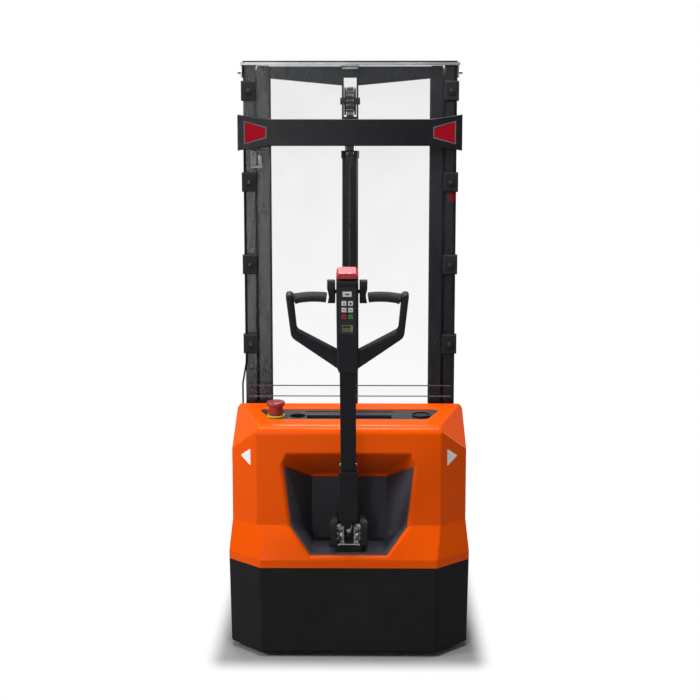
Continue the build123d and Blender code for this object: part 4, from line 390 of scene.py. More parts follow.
# Rim grey, lighter than the bar: partly its own tone, partly a painted highlight of the bevel around each
# reflector.
RIM_GREY_AND_HIGHLIGHT = painted("rim_grey", "#565d60")
SCREW_DARK = plated("screw_dark", "#55565a", rough=(0.3, 0.45))

for part in frame["record"]["subparts"]:
    data = nodes[part["node"]].data
    data.materials.clear()
    data.materials.append(MATERIALS[part["material_slot"]])


# Softened edges on sheet-metal and moulded solids

SHEET_EDGE = 1.5 * MM
SMALL_EDGE = 1.0 * MM
SHARP_FROM = math.radians(40)


def soften(width, *names):
    """Small bevel on the sharp edges of CAD nodes."""
    for name in names:
        bevel = nodes[name].modifiers.new("soft_edges", "BEVEL")
        bevel.width = width
        bevel.segments = 2
        bevel.limit_method = "ANGLE"
        bevel.angle_limit = SHARP_FROM
        bevel.harden_normals = True


soften(SHEET_EDGE, "inner_mast_frame", "carriage_frame", "guard_rail", "support_legs")
soften(SMALL_EDGE, "guard_clips", "pulley_yoke")


# Pieces that the solids leave plain

SMOOTH_BELOW = 35
SMOOTH_BELOW_ON_RIBS = 50


def mesh_from(name, bm, crease=SMOOTH_BELOW):
    """Mesh data out of a bmesh, with its faces turned outwards and smooth up to a crease angle."""
    bmesh.ops.recalc_face_normals(bm, faces=bm.faces)
    for face in bm.faces:
        face.smooth = True
    data = bpy.data.meshes.new(name)
    bm.to_mesh(data)
    bm.free()
    data.set_sharp_from_angle(angle=math.radians(crease))
    return data


def place_piece(name, bm, slot, body, finish=None, crease=SMOOTH_BELOW):
    """Puts a finished bmesh in the scene with its material, on the body that it rides on."""
    data = mesh_from(name, bm, crease)
    piece = bpy.data.objects.new(name, data)
    bpy.context.scene.collection.objects.link(piece)
    data.materials.append(finish or MATERIALS[slot])
    if body is not None:
        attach(piece, body)
    return piece


def bridge(bm, low, high):
    """Band of faces between two rings with the same number of points."""
    count = len(low)
    return [bm.faces.new((low[index], low[(index + 1) % count], high[(index + 1) % count], high[index]))
            for index in range(count)]


def cover(bm, rings):
    """Skin over a row of rings, closed at both ends."""
    for low, high in zip(rings, rings[1:]):
        bridge(bm, low, high)
    bm.faces.new(rings[0][::-1])
    bm.faces.new(rings[-1])


def add_prism(bm, outline, depth, place):
    """Closed outline in its own XY plane, raised by a depth and carried to its place."""
    low = [bm.verts.new(place @ Vector((x, y, 0))) for x, y in outline]
    high = [bm.verts.new(place @ Vector((x, y, depth))) for x, y in outline]
    return [bm.faces.new(low[::-1]), bm.faces.new(high)] + bridge(bm, low, high)


def add_frame(bm, outer, inner, depth, place):
    """Ring between two outlines with the same number of points, raised by a depth."""
    rows = [[bm.verts.new(place @ Vector((x, y, z))) for x, y in outline]
            for outline, z in ((outer, 0), (outer, depth), (inner, depth), (inner, 0))]
    for first, second in zip(rows, rows[1:] + rows[:1]):
        bridge(bm, first, second)


def add_lathe(bm, profile, count, place):
    """Turned shape: a profile of radius and height, carried around the height axis."""
    rings = []
    for radius, height in profile:
        spots = circle(radius, count) if radius > 0 else [(0.0, 0.0)]
        rings.append([bm.verts.new(place @ Vector((x, y, height))) for x, y in spots])
    for low, high in zip(rings, rings[1:]):
        for index in range(count):
            after = (index + 1) % count
            corners = [low[index % len(low)], low[after % len(low)],
                       high[after % len(high)], high[index % len(high)]]
            bm.faces.new(list(dict.fromkeys(corners)))


def add_tube(bm, path, radius, count=12):
    """Round wire along a row of points, closed at both ends."""
    rings = []
    side = None
    for index, point in enumerate(path):
        ahead = (path[min(index + 1, len(path) - 1)] - path[max(index - 1, 0)]).normalized()
        side = ahead.orthogonal() if side is None else side - ahead * side.dot(ahead)
        side.normalize()
        over = ahead.cross(side)
        thick = radius(index) if callable(radius) else radius
        rings.append([bm.verts.new(point + side * x + over * y) for x, y in circle(thick, count)])
    cover(bm, rings)


def circle(radius, count, centre=(0.0, 0.0), start=0.0, sweep=2 * math.pi):
    """Points along a circle or an arc."""
    steps = count if sweep == 2 * math.pi else count - 1
    return [(centre[0] + radius * math.cos(start + sweep * i / steps),
             centre[1] + radius * math.sin(start + sweep * i / steps)) for i in range(count)]


def rounded(points, radius, steps=4):
    """Closed outline with its corners rounded."""
    outline = []
    for index, spot in enumerate(points):
        corner = Vector(spot)
        before = (Vector(points[index - 1]) - corner).normalized()
        after = (Vector(points[(index + 1) % len(points)]) - corner).normalized()
        half = before.angle(after) / 2
        centre = corner + (before + after).normalized() * radius / math.sin(half)
        first = corner + before * radius / math.tan(half) - centre
        last = corner + after * radius / math.tan(half) - centre
        begin = math.atan2(first.y, first.x)
        sweep = (math.atan2(last.y, last.x) - begin + math.pi) % (2 * math.pi) - math.pi
        outline += circle(radius, steps + 1, centre, begin, sweep)
    return outline


def rectangle(width, height, centre=(0.0, 0.0)):
    """Corners of a rectangle."""
    x, y = centre
    return [(x - width / 2, y - height / 2), (x + width / 2, y - height / 2),
            (x + width / 2, y + height / 2), (x - width / 2, y + height / 2)]


def towards(spot, axis):
    """Place whose own Z points along an axis."""
    return Matrix.Translation(spot) @ Vector(axis).to_track_quat("Z", "Y").to_matrix().to_4x4()


def truck(x, y, z):
    """Point given in millimetres from the centre plane, the rear face of the skirt and the floor."""
    return Vector((x * MM, REAR + y * MM, z * MM))


def scaled(points, size=MM):
    """Outline or profile given in millimetres, or in shares of another size."""
    return [(x * size, y * size) for x, y in points]


SEEN_FROM_BEHIND = Matrix(((1, 0, 0), (0, 0, -1), (0, 1, 0))).to_4x4()
LEFT_AND_RIGHT = (-1, 1)

# Turned profiles in shares of the head's radius: distance from the axis, height
WASHER_PROFILE = ((0, 0), (1.5, 0), (1.5, 0.21), (1.38, 0.3), (0, 0.3))
BOLT_PROFILE = ((0, 0.3), (1, 0.3), (1, 0.9), (0.84, 1.05), (0, 1.05))
SCREW_PROFILE = ((0, 0), (1, 0), (1, 0.35), (0.82, 0.6), (0.5, 0.68), (0.46, 0.3), (0, 0.3))
WASHER_POINTS, BOLT_POINTS, SCREW_POINTS = 20, 6, 18
TURNED_POINTS = 28


def add_bolt(bm, spot, axis, radius):
    """Hexagon bolt head with a chamfered crown, on a washer."""
    place = towards(spot, axis)
    add_lathe(bm, scaled(WASHER_PROFILE, radius), WASHER_POINTS, place)
    add_lathe(bm, scaled(BOLT_PROFILE, radius), BOLT_POINTS, place)


def add_screw(bm, spot, axis, radius):
    """Pan head screw with a socket."""
    add_lathe(bm, scaled(SCREW_PROFILE, radius), SCREW_POINTS, towards(spot, axis))


# Lift chain: rows of oval link plates on pins

LINK_PITCH = 16 * MM
LINK_RADIUS = 5.6 * MM
LINK_WAIST = 0.8 * LINK_RADIUS
LINK_GAP = 0.2 * MM
LINK_END_POINTS = 7
PLATE = 2.6 * MM
PLATE_SHARE = 0.94
PLATES_EVEN, PLATES_ODD = 5, 4
PIN_RADIUS = 2.6 * MM
PIN_SHARE = 0.98
PIN_POINTS = 10
CHAIN_LOW, CHAIN_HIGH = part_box("chain_rear_strand")
CHAIN_WIDTH = CHAIN_HIGH.x - CHAIN_LOW.x


def link_outline(pitch):
    """Oval link plate with a waist, seen from the side."""
    right = circle(LINK_RADIUS, LINK_END_POINTS, (pitch / 2, 0), -math.pi / 2, math.pi)
    left = circle(LINK_RADIUS, LINK_END_POINTS, (-pitch / 2, 0), math.pi / 2, math.pi)
    return right + [(0, LINK_WAIST)] + left + [(0, -LINK_WAIST)]


def add_link(bm, centre, along, across, pitch, even):
    """One pitch of leaf chain: its plates, and the pin at its far end."""
    side = Vector((1, 0, 0))
    turn = Matrix((along, across, side)).transposed().to_4x4()
    count = PLATES_EVEN if even else PLATES_ODD
    outline = link_outline(pitch)
    for index in range(count):
        offset = (index - (count - 1) / 2) * 2 * PLATE
        place = Matrix.Translation(centre + side * (offset - PLATE / 2)) @ turn
        add_prism(bm, outline, PLATE * PLATE_SHARE, place)
    length = CHAIN_WIDTH * PIN_SHARE
    place = Matrix.Translation(centre + along * pitch / 2 - side * length / 2) @ turn
    for face in add_prism(bm, circle(PIN_RADIUS, PIN_POINTS), length, place):
        face.material_index = 1


def chain_run(name, node):
    """Straight run of chain that takes the place of a CAD strand."""
    low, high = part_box(node)
    count = max(1, round((high.z - low.z) / LINK_PITCH))
    pitch = (high.z - low.z) / count
    middle_y = (low.y + high.y) / 2
    up, forward = Vector((0, 0, 1)), Vector((0, 1, 0))
    bm = bmesh.new()
    for index in range(count):
        centre = Vector((0, middle_y, low.z + (index + 0.5) * pitch))
        add_link(bm, centre, up, forward, pitch - LINK_GAP, index % 2 == 0)
    piece = place_piece(name, bm, "chain_steel", None)
    piece.data.materials.append(CHAIN_PIN_HIGHLIGHT)
    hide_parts(node)
    return piece, low, high


rear_chain, low, high = chain_run("lift_chain_rear", "chain_rear_strand")
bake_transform(rear_chain)
front_chain, low, high = chain_run("lift_chain_front", "chain_front_strand")
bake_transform(front_chain)


def wrapped_chain():
    """Half turn of chain over the pulley."""
    low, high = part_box("chain_wrap")
    centre = Vector((0, (low.y + high.y) / 2, low.z))
    radius = (high.y - low.y) / 2 - (CHAIN_HIGH.y - CHAIN_LOW.y) / 2
    count = round(math.pi * radius / LINK_PITCH)
    pitch = 2 * radius * math.sin(math.pi / count / 2)
    bm = bmesh.new()
    for index in range(count):
        angle = math.pi * (index + 0.5) / count
        out = Vector((0, math.cos(angle), math.sin(angle)))
        along = Vector((0, -math.sin(angle), math.cos(angle)))
        add_link(bm, centre + out * radius, along, -out, pitch, index % 2 == 0)
    piece = place_piece("lift_chain_wrap", bm, "chain_steel", "inner_mast")
    piece.data.materials.append(CHAIN_PIN_HIGHLIGHT)
    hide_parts("chain_wrap")


wrapped_chain()


# Plain triangles on the slanted corners of the hood, and screws in its sides

CORNER_REAR = Vector((302.0, 40.0))
CORNER_FRONT = Vector((388.0, 127.0))
CORNER_MARK = ((77.0, 661.0), (28.0, 690.0), (28.0, 633.0))
CORNER_MARK_ROUND = 2.5 * MM
CORNER_MARK_THICK = 0.6 * MM
CORNER_MARK_BED = 0.2 * MM
HOOD_SCREWS = ((250.0, 470.0), (250.0, 650.0))
HOOD_SCREW_RADIUS = 7 * MM


def corner_mark(name, side):
    """Triangle that points outwards on one slanted corner."""
    along = (CORNER_FRONT - CORNER_REAR).normalized()
    right = Vector((along.x, side * along.y, 0))
    up = Vector((0, 0, 1))
    turn = Matrix((right, up, right.cross(up))).transposed().to_4x4()
    place = Matrix.Translation(truck(side * CORNER_REAR.x, CORNER_REAR.y, 0)) @ turn
    bm = bmesh.new()
    outline = rounded(scaled([(side * t, z) for t, z in CORNER_MARK]), CORNER_MARK_ROUND)
    add_prism(bm, outline, CORNER_MARK_THICK, place @ Matrix.Translation((0, 0, -CORNER_MARK_BED)))
    place_piece(name, bm, "key_white", "chassis", MARK_WHITE)


corner_mark("corner_mark_left", -1)
corner_mark("corner_mark_right", 1)


def hood_screws():
    """Screws that hold the hood to its frame."""
    bm = bmesh.new()
    for side in LEFT_AND_RIGHT:
        for y, z in HOOD_SCREWS:
            add_screw(bm, truck(side * CORNER_FRONT.x, y, z), (side, 0, 0), HOOD_SCREW_RADIUS)
    place_piece("hood_screws", bm, "zinc", "chassis", SCREW_DARK)


hood_screws()


# Tiller: its own upright frame, leaned back about the pivot

JOINTS = {joint["name"]: joint for joint in frame["record"]["behaviour"]["joints"]}
PIVOT = Vector(JOINTS["tiller_tilt"]["pos_m"])
PRESS = Vector(JOINTS["horn_press"]["axis"])
ACROSS = Vector((1, 0, 0))
TILLER = Matrix.Translation(PIVOT) @ Matrix((ACROSS, PRESS, ACROSS.cross(PRESS))).transposed().to_4x4()


def on_tiller(x, y, along):
    """Point of the tiller in millimetres: across, from its middle plane, and along it from the pivot."""
    return TILLER @ Vector((x * MM, y * MM, along * MM))


def tiller_face(x, y, along):
    """Place for an outline drawn on the operator's side of the tiller."""
    return TILLER @ Matrix.Translation((x * MM, y * MM, along * MM)) @ SEEN_FROM_BEHIND


# Keys and display

KEY_FACE = -30.2
DISPLAY_FACE = -28.7
MARK_BED = 0.05
MARK_HEIGHT = 0.2 * MM
KEY_MARK_ROUND = 0.8 * MM
FIELD_ROUND = 0.5 * MM
KEY_COLUMN = 9.75
KEY_ROWS = (827.6, 850.35, 873.1)
HORN_ROW = 904.4
DOT = 3.0
UPWARDS = [(-DOT, -DOT), (DOT, -DOT), (0, DOT)]
DOWNWARDS = [(-DOT, DOT), (DOT, DOT), (0, -DOT)]
SQUARE = rectangle(2 * DOT, 2 * DOT)

# Key, column, row, outline and finish of each mark
KEY_MARKS = (
    ("horn_key", 0, HORN_ROW, rectangle(11, 4), MARK_DARK),
    ("raise_key", -KEY_COLUMN, KEY_ROWS[2], UPWARDS, MARK_DARK),
    ("fast_key", KEY_COLUMN, KEY_ROWS[2], SQUARE, MARK_DARK),
    ("lower_key", -KEY_COLUMN, KEY_ROWS[1], DOWNWARDS, MARK_DARK),
    ("slow_key", KEY_COLUMN, KEY_ROWS[1], rectangle(2 * DOT, DOT), MARK_DARK),
    ("off_key", -KEY_COLUMN, KEY_ROWS[0], SQUARE, MARK_RED),
    ("on_key", KEY_COLUMN, KEY_ROWS[0], rectangle(DOT, 2 * DOT), MARK_GREEN),
)

# Piece, outline and finish of each part of the display
DISPLAY_FIELDS = (
    ("display_bar", rectangle(22.0, 5.2, (-2.0, 791.4)), DISPLAY_INK),
    ("display_field", rectangle(6.6, 22.0, (12.8, 786.0)), DISPLAY_PALE),
)


def key_mark(key, x, along, outline, finish):
    """Plain raised mark in the middle of a key."""
    bm = bmesh.new()
    place = tiller_face(x, KEY_FACE + MARK_BED, along)
    add_prism(bm, rounded(scaled(outline), KEY_MARK_ROUND), MARK_HEIGHT, place)
    place_piece(key + "_mark", bm, "key_white", key, finish)


def display_mark(name, outline, finish):
    """Plain field of the display behind its window."""
    bm = bmesh.new()
    place = tiller_face(0, DISPLAY_FACE + MARK_BED, 0)
    add_prism(bm, rounded(scaled(outline), FIELD_ROUND), MARK_HEIGHT, place)
    place_piece(name, bm, "display_green", "tiller", finish)


for mark in KEY_MARKS:
    key_mark(*mark)
for field in DISPLAY_FIELDS:
    display_mark(*field)


# Ribbed grips in the place of the plain ones

GRIP_ARC = (Vector((62.0, 876.5)), Vector((117.0, 878.5)), Vector((172.0, 868.0)))
GRIP_CUT = 156.5
GRIP_RADIUS = 15.5
GRIP_RINGS = 170
GRIP_POINTS = 32
GRIP_NOSE = 3.0
RIB_PITCH = 3.2
RIB_DEPTH = 0.8
RIB_MARGIN = 7.0
RIB_UNDER, RIB_FALL = 0.9, 1.6
COLLAR_LENGTH = 5.0
COLLAR_HEIGHT = 0.9


def arc_centre(first, second, third):
    """Centre of the circle through three points."""
    a, b = second - first, third - first
    scale = 2 * (a.x * b.y - a.y * b.x)
    return first + Vector((b.y * a.length_squared - a.y * b.length_squared,
                           a.x * b.length_squared - b.x * a.length_squared)) / scale


def grip_radius(along, length, upward):
    """Radius of a grip: a rounded inner end, ribs under the fingers and a collar at the outer end."""
    radius = GRIP_RADIUS
    if along < GRIP_NOSE:
        radius += math.sqrt(GRIP_NOSE ** 2 - (GRIP_NOSE - along) ** 2) - GRIP_NOSE
    if RIB_MARGIN < along < length - RIB_MARGIN:
        under = min(1.0, max(0.0, RIB_UNDER - RIB_FALL * upward))
        radius -= RIB_DEPTH * under * (0.5 - 0.5 * math.cos(2 * math.pi * (along - RIB_MARGIN) / RIB_PITCH))
    if along > length - COLLAR_LENGTH:
        radius += COLLAR_HEIGHT
    return radius


def add_grip(bm, side):
    """One grip along its gentle arch."""
    centre = arc_centre(*GRIP_ARC)
    swing = (GRIP_ARC[0] - centre).length
    start = math.atan2(GRIP_ARC[0].y - centre.y, GRIP_ARC[0].x - centre.x)
    stop = math.acos((GRIP_CUT - centre.x) / swing)
    length = swing * (start - stop)
    rings = []
    for index in range(GRIP_RINGS):
        share = index / (GRIP_RINGS - 1)
        angle = start + (stop - start) * share
        out = Vector((math.cos(angle), math.sin(angle)))
        ring = []
        for x, y in circle(1.0, GRIP_POINTS):
            radius = grip_radius(share * length, length, y)
            spot = centre + out * (swing + y * radius)
            ring.append(bm.verts.new(on_tiller(side * spot.x, x * radius, spot.y)))
        rings.append(ring)
    cover(bm, rings)


def ribbed_grips():
    """Both grips as one piece."""
    bm = bmesh.new()
    for side in LEFT_AND_RIGHT:
        add_grip(bm, side)
    piece = place_piece("ribbed_grips", bm, "grip_rubber", "tiller", crease=SMOOTH_BELOW_ON_RIBS)
    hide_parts("handle_grips")


ribbed_grips()


# Foot of the tiller: pivot pin, return springs, base plate and bolts

COIL_RADIUS = 13.4
COIL_WIRE = 2.3
COIL_X = (18.5, 34.0)
COIL_TURNS = 3.5
COIL_STEPS = 90
EAR_FACE = 38.0
PIN_HALF = 61.0
PIN_PROFILE = ((0, 1.5), (5, 1.5), (6, 0), (9, 0), (10, 1),
               (10, 121), (9, 122), (6, 122), (5, 120.5), (0, 120.5))
LEG_END = 373.0
BASE_LOW, BASE_THICK = 368.2, 3
BASE_OUTLINE, BASE_ROUND, BASE_Y = rectangle(72, 60), 4 * MM, 72
LIP_OUTLINE, LIP_ROUND, LIP_Y = rectangle(72, 6), 2 * MM, 45
YOKE_BOLT, YOKE_BOLT_RADIUS = (26.5, 105, 383), 8 * MM
BASE_BOLT, BASE_BOLT_RADIUS = (27, 60), 5.5 * MM
EAR_SCREWS, EAR_SCREW_RADIUS = ((47, 391), (50, 408)), 4.5 * MM


def spring_path(side):
    """Wire of one return spring: up a leg, round the pin and down the other leg."""
    path = [PIVOT + Vector((side * COIL_X[0], -COIL_RADIUS, 0)) * MM]
    path[0].z = LEG_END * MM
    for index in range(COIL_STEPS + 1):
        share = index / COIL_STEPS
        angle = 2 * math.pi * COIL_TURNS * share
        x = side * (COIL_X[0] + (COIL_X[1] - COIL_X[0]) * share)
        path.append(PIVOT + Vector((x, -COIL_RADIUS * math.cos(angle), COIL_RADIUS * math.sin(angle))) * MM)
    foot = path[-1].copy()
    foot.z = LEG_END * MM
    return path + [foot]


def foot_hardware():
    """Everything bright between the ears of the yoke."""
    bm = bmesh.new()
    add_lathe(bm, scaled(PIN_PROFILE), TURNED_POINTS, towards(PIVOT - ACROSS * PIN_HALF * MM, ACROSS))
    for side in LEFT_AND_RIGHT:
        add_tube(bm, spring_path(side), COIL_WIRE * MM)
        x, y, z = YOKE_BOLT
        add_bolt(bm, truck(side * x, y, z), (0, -1, 0), YOKE_BOLT_RADIUS)
        x, y = BASE_BOLT
        add_bolt(bm, truck(side * x, y, BASE_LOW + BASE_THICK), (0, 0, 1), BASE_BOLT_RADIUS)
        for y, z in EAR_SCREWS:
            add_screw(bm, truck(side * EAR_FACE, y, z), (-side, 0, 0), EAR_SCREW_RADIUS)
    base = Matrix.Translation(truck(0, BASE_Y, BASE_LOW))
    add_prism(bm, rounded(scaled(BASE_OUTLINE), BASE_ROUND), BASE_THICK * MM, base)
    lip = Matrix.Translation(truck(0, LIP_Y, BASE_LOW + BASE_THICK)) @ SEEN_FROM_BEHIND
    add_prism(bm, rounded(scaled(LIP_OUTLINE), LIP_ROUND), BASE_THICK * MM, lip)
    piece = place_piece("foot_hardware", bm, "zinc", "drive_unit")
    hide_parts("tiller_hardware")


foot_hardware()


KNUCKLE_BOLT, KNUCKLE_BOLT_RADIUS = (0, -20, 2), 5.5 * MM
WIRE_ROUTE, WIRE_RADIUS = ((10, -22, 28), (8, -23, 16), (1, -28, 0), (-4, -22, -14)), 1.7 * MM
ARM_SIDE, ARM_SCREW_ALONG, ARM_SCREW_RADIUS = 24.75, 258, 4.5 * MM


def tiller_fittings():
    """Bolt in the knuckle, the wire over it and the screws above the sleeve."""
    bm = bmesh.new()
    add_bolt(bm, on_tiller(*KNUCKLE_BOLT), -PRESS, KNUCKLE_BOLT_RADIUS)
    add_tube(bm, [on_tiller(*spot) for spot in WIRE_ROUTE], WIRE_RADIUS)
    for side in LEFT_AND_RIGHT:
        add_screw(bm, on_tiller(side * ARM_SIDE, 0, ARM_SCREW_ALONG), (side, 0, 0), ARM_SCREW_RADIUS)
    place_piece("tiller_fittings", bm, "zinc", "tiller")


tiller_fittings()


# Guard panels: a strip along the edge of each, and a screw in every clip

PANEL_HALF = 350.0
CLIP_X = 341.5
KNOB_FACE = 356.0
CLIP_HEIGHTS = (991.0, 1265.0, 1545.1, 1850.0)
CLIP_SCREW_RADIUS = 6.5 * MM
LOWER_STRIP = ((361, 845), (362, 845), (362, 847), (366, 847), (366, 848), (361, 848))
UPPER_STRIP = ((370, 810), (371, 810), (371, 807), (366, 807), (366, 808), (370, 808))
ALONG_X = Matrix(((0, 0, 1), (1, 0, 0), (0, 1, 0))).to_4x4()


def edge_strip(name, outline, finish):
    """Angle strip along the edge of a panel, drawn as Y and Z."""
    bm = bmesh.new()
    place = Matrix.Translation(truck(-PANEL_HALF, 0, 0)) @ ALONG_X
    add_prism(bm, scaled(outline), 2 * PANEL_HALF * MM, place)
    place_piece(name, bm, "clip_black", "chassis", finish)


edge_strip("lower_panel_strip", LOWER_STRIP, TRIM_DARK)
edge_strip("upper_panel_strip", UPPER_STRIP, TRIM_PALE)


def clip_screws():
    """Screw in the knob of every clip."""
    bm = bmesh.new()
    for side in LEFT_AND_RIGHT:
        for z in CLIP_HEIGHTS:
            add_screw(bm, truck(side * CLIP_X, KNOB_FACE, z), (0, -1, 0), CLIP_SCREW_RADIUS)
    place_piece("clip_screws", bm, "zinc", "chassis", SCREW_DARK)


clip_screws()


# Reflector bar: a raised rim around each reflector

BAR_REAR = 338.0
BAR_MIDDLE = 1711.0
REFLECTOR_X = (283.0, 352.0)
REFLECTOR_HALF = (15.0, 35.5)
RIM_OUTSIDE, RIM_INSIDE = 3.6, 0.4
RIM_ROUND = 0.6 * MM
RIM_BED = 0.2
RIM_HEIGHT = 1.2 * MM


def reflector_rims():
    """Thin frame around both reflectors, in a grey lighter than the bar: partly its own tone, partly a
    painted highlight of the bevel.
    """
    bm = bmesh.new()
    place = Matrix.Translation(truck(0, BAR_REAR + RIM_BED, BAR_MIDDLE)) @ SEEN_FROM_BEHIND
    for side in LEFT_AND_RIGHT:
        rings = []
        for grow in (RIM_OUTSIDE, RIM_INSIDE):
            narrow, wide = (half + grow for half in REFLECTOR_HALF)
            near, far = side * (REFLECTOR_X[0] - grow), side * (REFLECTOR_X[1] + grow)
            corners = [(near, -narrow), (far, -wide), (far, wide), (near, narrow)]
            rings.append(rounded(scaled(corners), RIM_ROUND))
        add_frame(bm, *rings, RIM_HEIGHT, place)
    place_piece("reflector_rims", bm, "bar_black", "chassis", RIM_GREY_AND_HIGHLIGHT)


reflector_rims()


# Mast: height switch, red marker, roller caps, plates on the crossbeam, dark strips

MAST_REAR = 400.0
ON_MAST = Matrix.Translation(truck(0, MAST_REAR, 0)) @ SEEN_FROM_BEHIND
MARKER = ((361, 1481), (361, 1511), (340, 1511), (332, 1502), (332, 1490), (340, 1481))
MARKER_THICK = 1.6 * MM
SWITCH_FOOT, FOOT_THICK = rectangle(13, 56, (-331.5, 1620)), 2 * MM
SWITCH_PLATE, PLATE_ROUND, PLATE_THICK = rectangle(40, 56, (-318, 1620)), 4 * MM, 4 * MM
SWITCH_BLOCK, BLOCK_ROUND, BLOCK_THICK = rectangle(13, 36, (-305.5, 1616)), 3 * MM, 18 * MM
SWITCH_SPOT = (-321, 383, 1599)
SWITCH_PROFILE = ((0, 0), (8, 0), (8.6, 2), (11, 3), (11, 9), (9.4, 10.5),
                  (9.4, 34), (11, 35.5), (11, 43), (8, 45), (0, 45))
GLAND_SPOT, GLAND_POINTS = (-308, 385, 1634), 20
GLAND_PROFILE = ((0, 0), (5.5, 0), (5.5, 5), (7, 5.5), (7, 10), (4.2, 13.5), (0, 13.5))
SWITCH_SCREWS, SWITCH_SCREW_RADIUS = ((-334, 1638), (-334, 1602), (-302, 1641)), 4.2 * MM
SWITCH_SCREW_Y = MAST_REAR - 6
CAP_PROFILE = ((0, 0), (17, 0), (17, 2), (15.5, 3), (8, 3), (7, 1.5), (0, 1.5))

# Piece, outline, thickness and slot of each plate on the crossbeam
CROSSBEAM_PLATES = (
    ("crossbeam_plate", rectangle(62, 40, (0, 1914)), 1.2 * MM, "mast_steel"),
    ("crossbeam_cap", rectangle(54, 8, (0, 1927)), 1.5 * MM, "zinc"),
)
CROSSBEAM_ROUND = 3 * MM
SLIDE_SIZE, SLIDE_ROUND = (10.2, 10), 1.5 * MM
SLIDE_X = 319.8
SLIDE_Y = 504.0
SLIDE_HEIGHTS = (100.0, 1930.0)


def height_switch():
    """Height switch: a foot on the upright, a plate, a bright plunger body and the cable gland."""
    bm = bmesh.new()
    add_prism(bm, scaled(SWITCH_FOOT), FOOT_THICK, ON_MAST)
    lifted = ON_MAST @ Matrix.Translation((0, 0, FOOT_THICK))
    add_prism(bm, rounded(scaled(SWITCH_PLATE), PLATE_ROUND), PLATE_THICK, lifted)
    add_prism(bm, rounded(scaled(SWITCH_BLOCK), BLOCK_ROUND), BLOCK_THICK, lifted)
    add_lathe(bm, scaled(SWITCH_PROFILE), TURNED_POINTS, Matrix.Translation(truck(*SWITCH_SPOT)))
    add_lathe(bm, scaled(GLAND_PROFILE), GLAND_POINTS, Matrix.Translation(truck(*GLAND_SPOT)))
    for x, z in SWITCH_SCREWS:
        add_screw(bm, truck(x, SWITCH_SCREW_Y, z), (0, -1, 0), SWITCH_SCREW_RADIUS)
    piece = place_piece("height_switch", bm, "switch_grey", "chassis")
    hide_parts("limit_switch")


height_switch()


def mast_marker():
    """Red marker on the right upright."""
    bm = bmesh.new()
    add_prism(bm, scaled(MARKER), MARKER_THICK, ON_MAST)
    place_piece("mast_marker", bm, "reflector_red", "chassis")


mast_marker()


def roller_caps():
    """Caps over the roller stubs, on the outside of the uprights."""
    low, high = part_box("outer_mast_rollers")
    mast_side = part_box("outer_mast_frame")[1].x
    bm = bmesh.new()
    for side in LEFT_AND_RIGHT:
        spot = Vector((side * mast_side, (low.y + high.y) / 2, (low.z + high.z) / 2))
        add_lathe(bm, scaled(CAP_PROFILE), TURNED_POINTS, towards(spot, (side, 0, 0)))
    place_piece("roller_caps", bm, "roller_steel", "chassis")


roller_caps()


def crossbeam_plates():
    """Dark plate over the chain slot of the crossbeam, and the bright strip along its top."""
    for name, outline, thick, slot in CROSSBEAM_PLATES:
        bm = bmesh.new()
        add_prism(bm, rounded(scaled(outline), CROSSBEAM_ROUND), thick, ON_MAST)
        place_piece(name, bm, slot, "inner_mast")


crossbeam_plates()


def slide_strips():
    """Dark wear strips on the front edges of the outer uprights, beside the inner ones."""
    low, high = SLIDE_HEIGHTS
    foot = Matrix.Translation(truck(0, 0, low))
    bm = bmesh.new()
    for side in LEFT_AND_RIGHT:
        outline = rounded(scaled(rectangle(*SLIDE_SIZE, (side * SLIDE_X, SLIDE_Y))), SLIDE_ROUND)
        add_prism(bm, outline, (high - low) * MM, foot)
    place_piece("slide_strips", bm, "clip_black", "chassis")


slide_strips()


# Carriage: weld beads where the fork shanks meet the plate

BEAD_STEP = 4.0
BEAD_RADII, BEAD_POINTS = (2.6 * MM, 3.4 * MM), 8
BEAD_ROUTE = ((105.0, 110.0), (105.0, 401.0), (283.0, 401.0))
CARRIAGE_FACE = 540.0


def weld_beads():
    """Rippled bead up the inner side and over the top of each shank."""
    bm = bmesh.new()
    for side in LEFT_AND_RIGHT:
        path = []
        for first, last in zip(BEAD_ROUTE, BEAD_ROUTE[1:]):
            count = round((Vector(last) - Vector(first)).length / BEAD_STEP)
            for index in range(count):
                x, z = Vector(first).lerp(Vector(last), index / count)
                path.append(truck(side * x, CARRIAGE_FACE, z))
        add_tube(bm, path, lambda index: BEAD_RADII[index % 2], BEAD_POINTS)
    place_piece("weld_beads", bm, "black_steel", "carriage")


weld_beads()


# Camera at the photograph's angle, in metres, degrees and millimetres of lens

CAMERA_BACK = 4.5
CAMERA_HEIGHT = 1.694
CAMERA_SIDE = 0.055
CAMERA_PITCH = 8.46
CAMERA_YAW = 0.66
CAMERA_LENS = 73.4
CAMERA_SENSOR = 36.0
CAMERA_SHIFT = 0.0006

camera = bpy.data.objects.new("camera", bpy.data.cameras.new("camera"))
camera.data.lens = CAMERA_LENS
camera.data.sensor_width = CAMERA_SENSOR
camera.data.shift_x = CAMERA_SHIFT
camera.location = (CAMERA_SIDE, REAR - CAMERA_BACK, CAMERA_HEIGHT)
camera.rotation_euler = (math.radians(90 - CAMERA_PITCH), 0, math.radians(CAMERA_YAW))
bpy.context.scene.collection.objects.link(camera)
bpy.context.scene.camera = camera


# Studio: pale floor, white backdrop for the eye, soft lamps, all in metres

def light_rays(tree, *names):
    """One where a ray of one of the named kinds meets the surface."""
    path = tree.nodes.new("ShaderNodeLightPath")
    total = path.outputs["Is Camera Ray"]
    for name in names:
        made = tree.nodes.new("ShaderNodeMath")
        made.operation = "MAXIMUM"
        tree.links.new(total, made.inputs[0])
        tree.links.new(path.outputs[name], made.inputs[1])
        total = made.outputs["Value"]
    return total


WORLD_FILL = 0.18
WHITE = (1, 1, 1, 1)


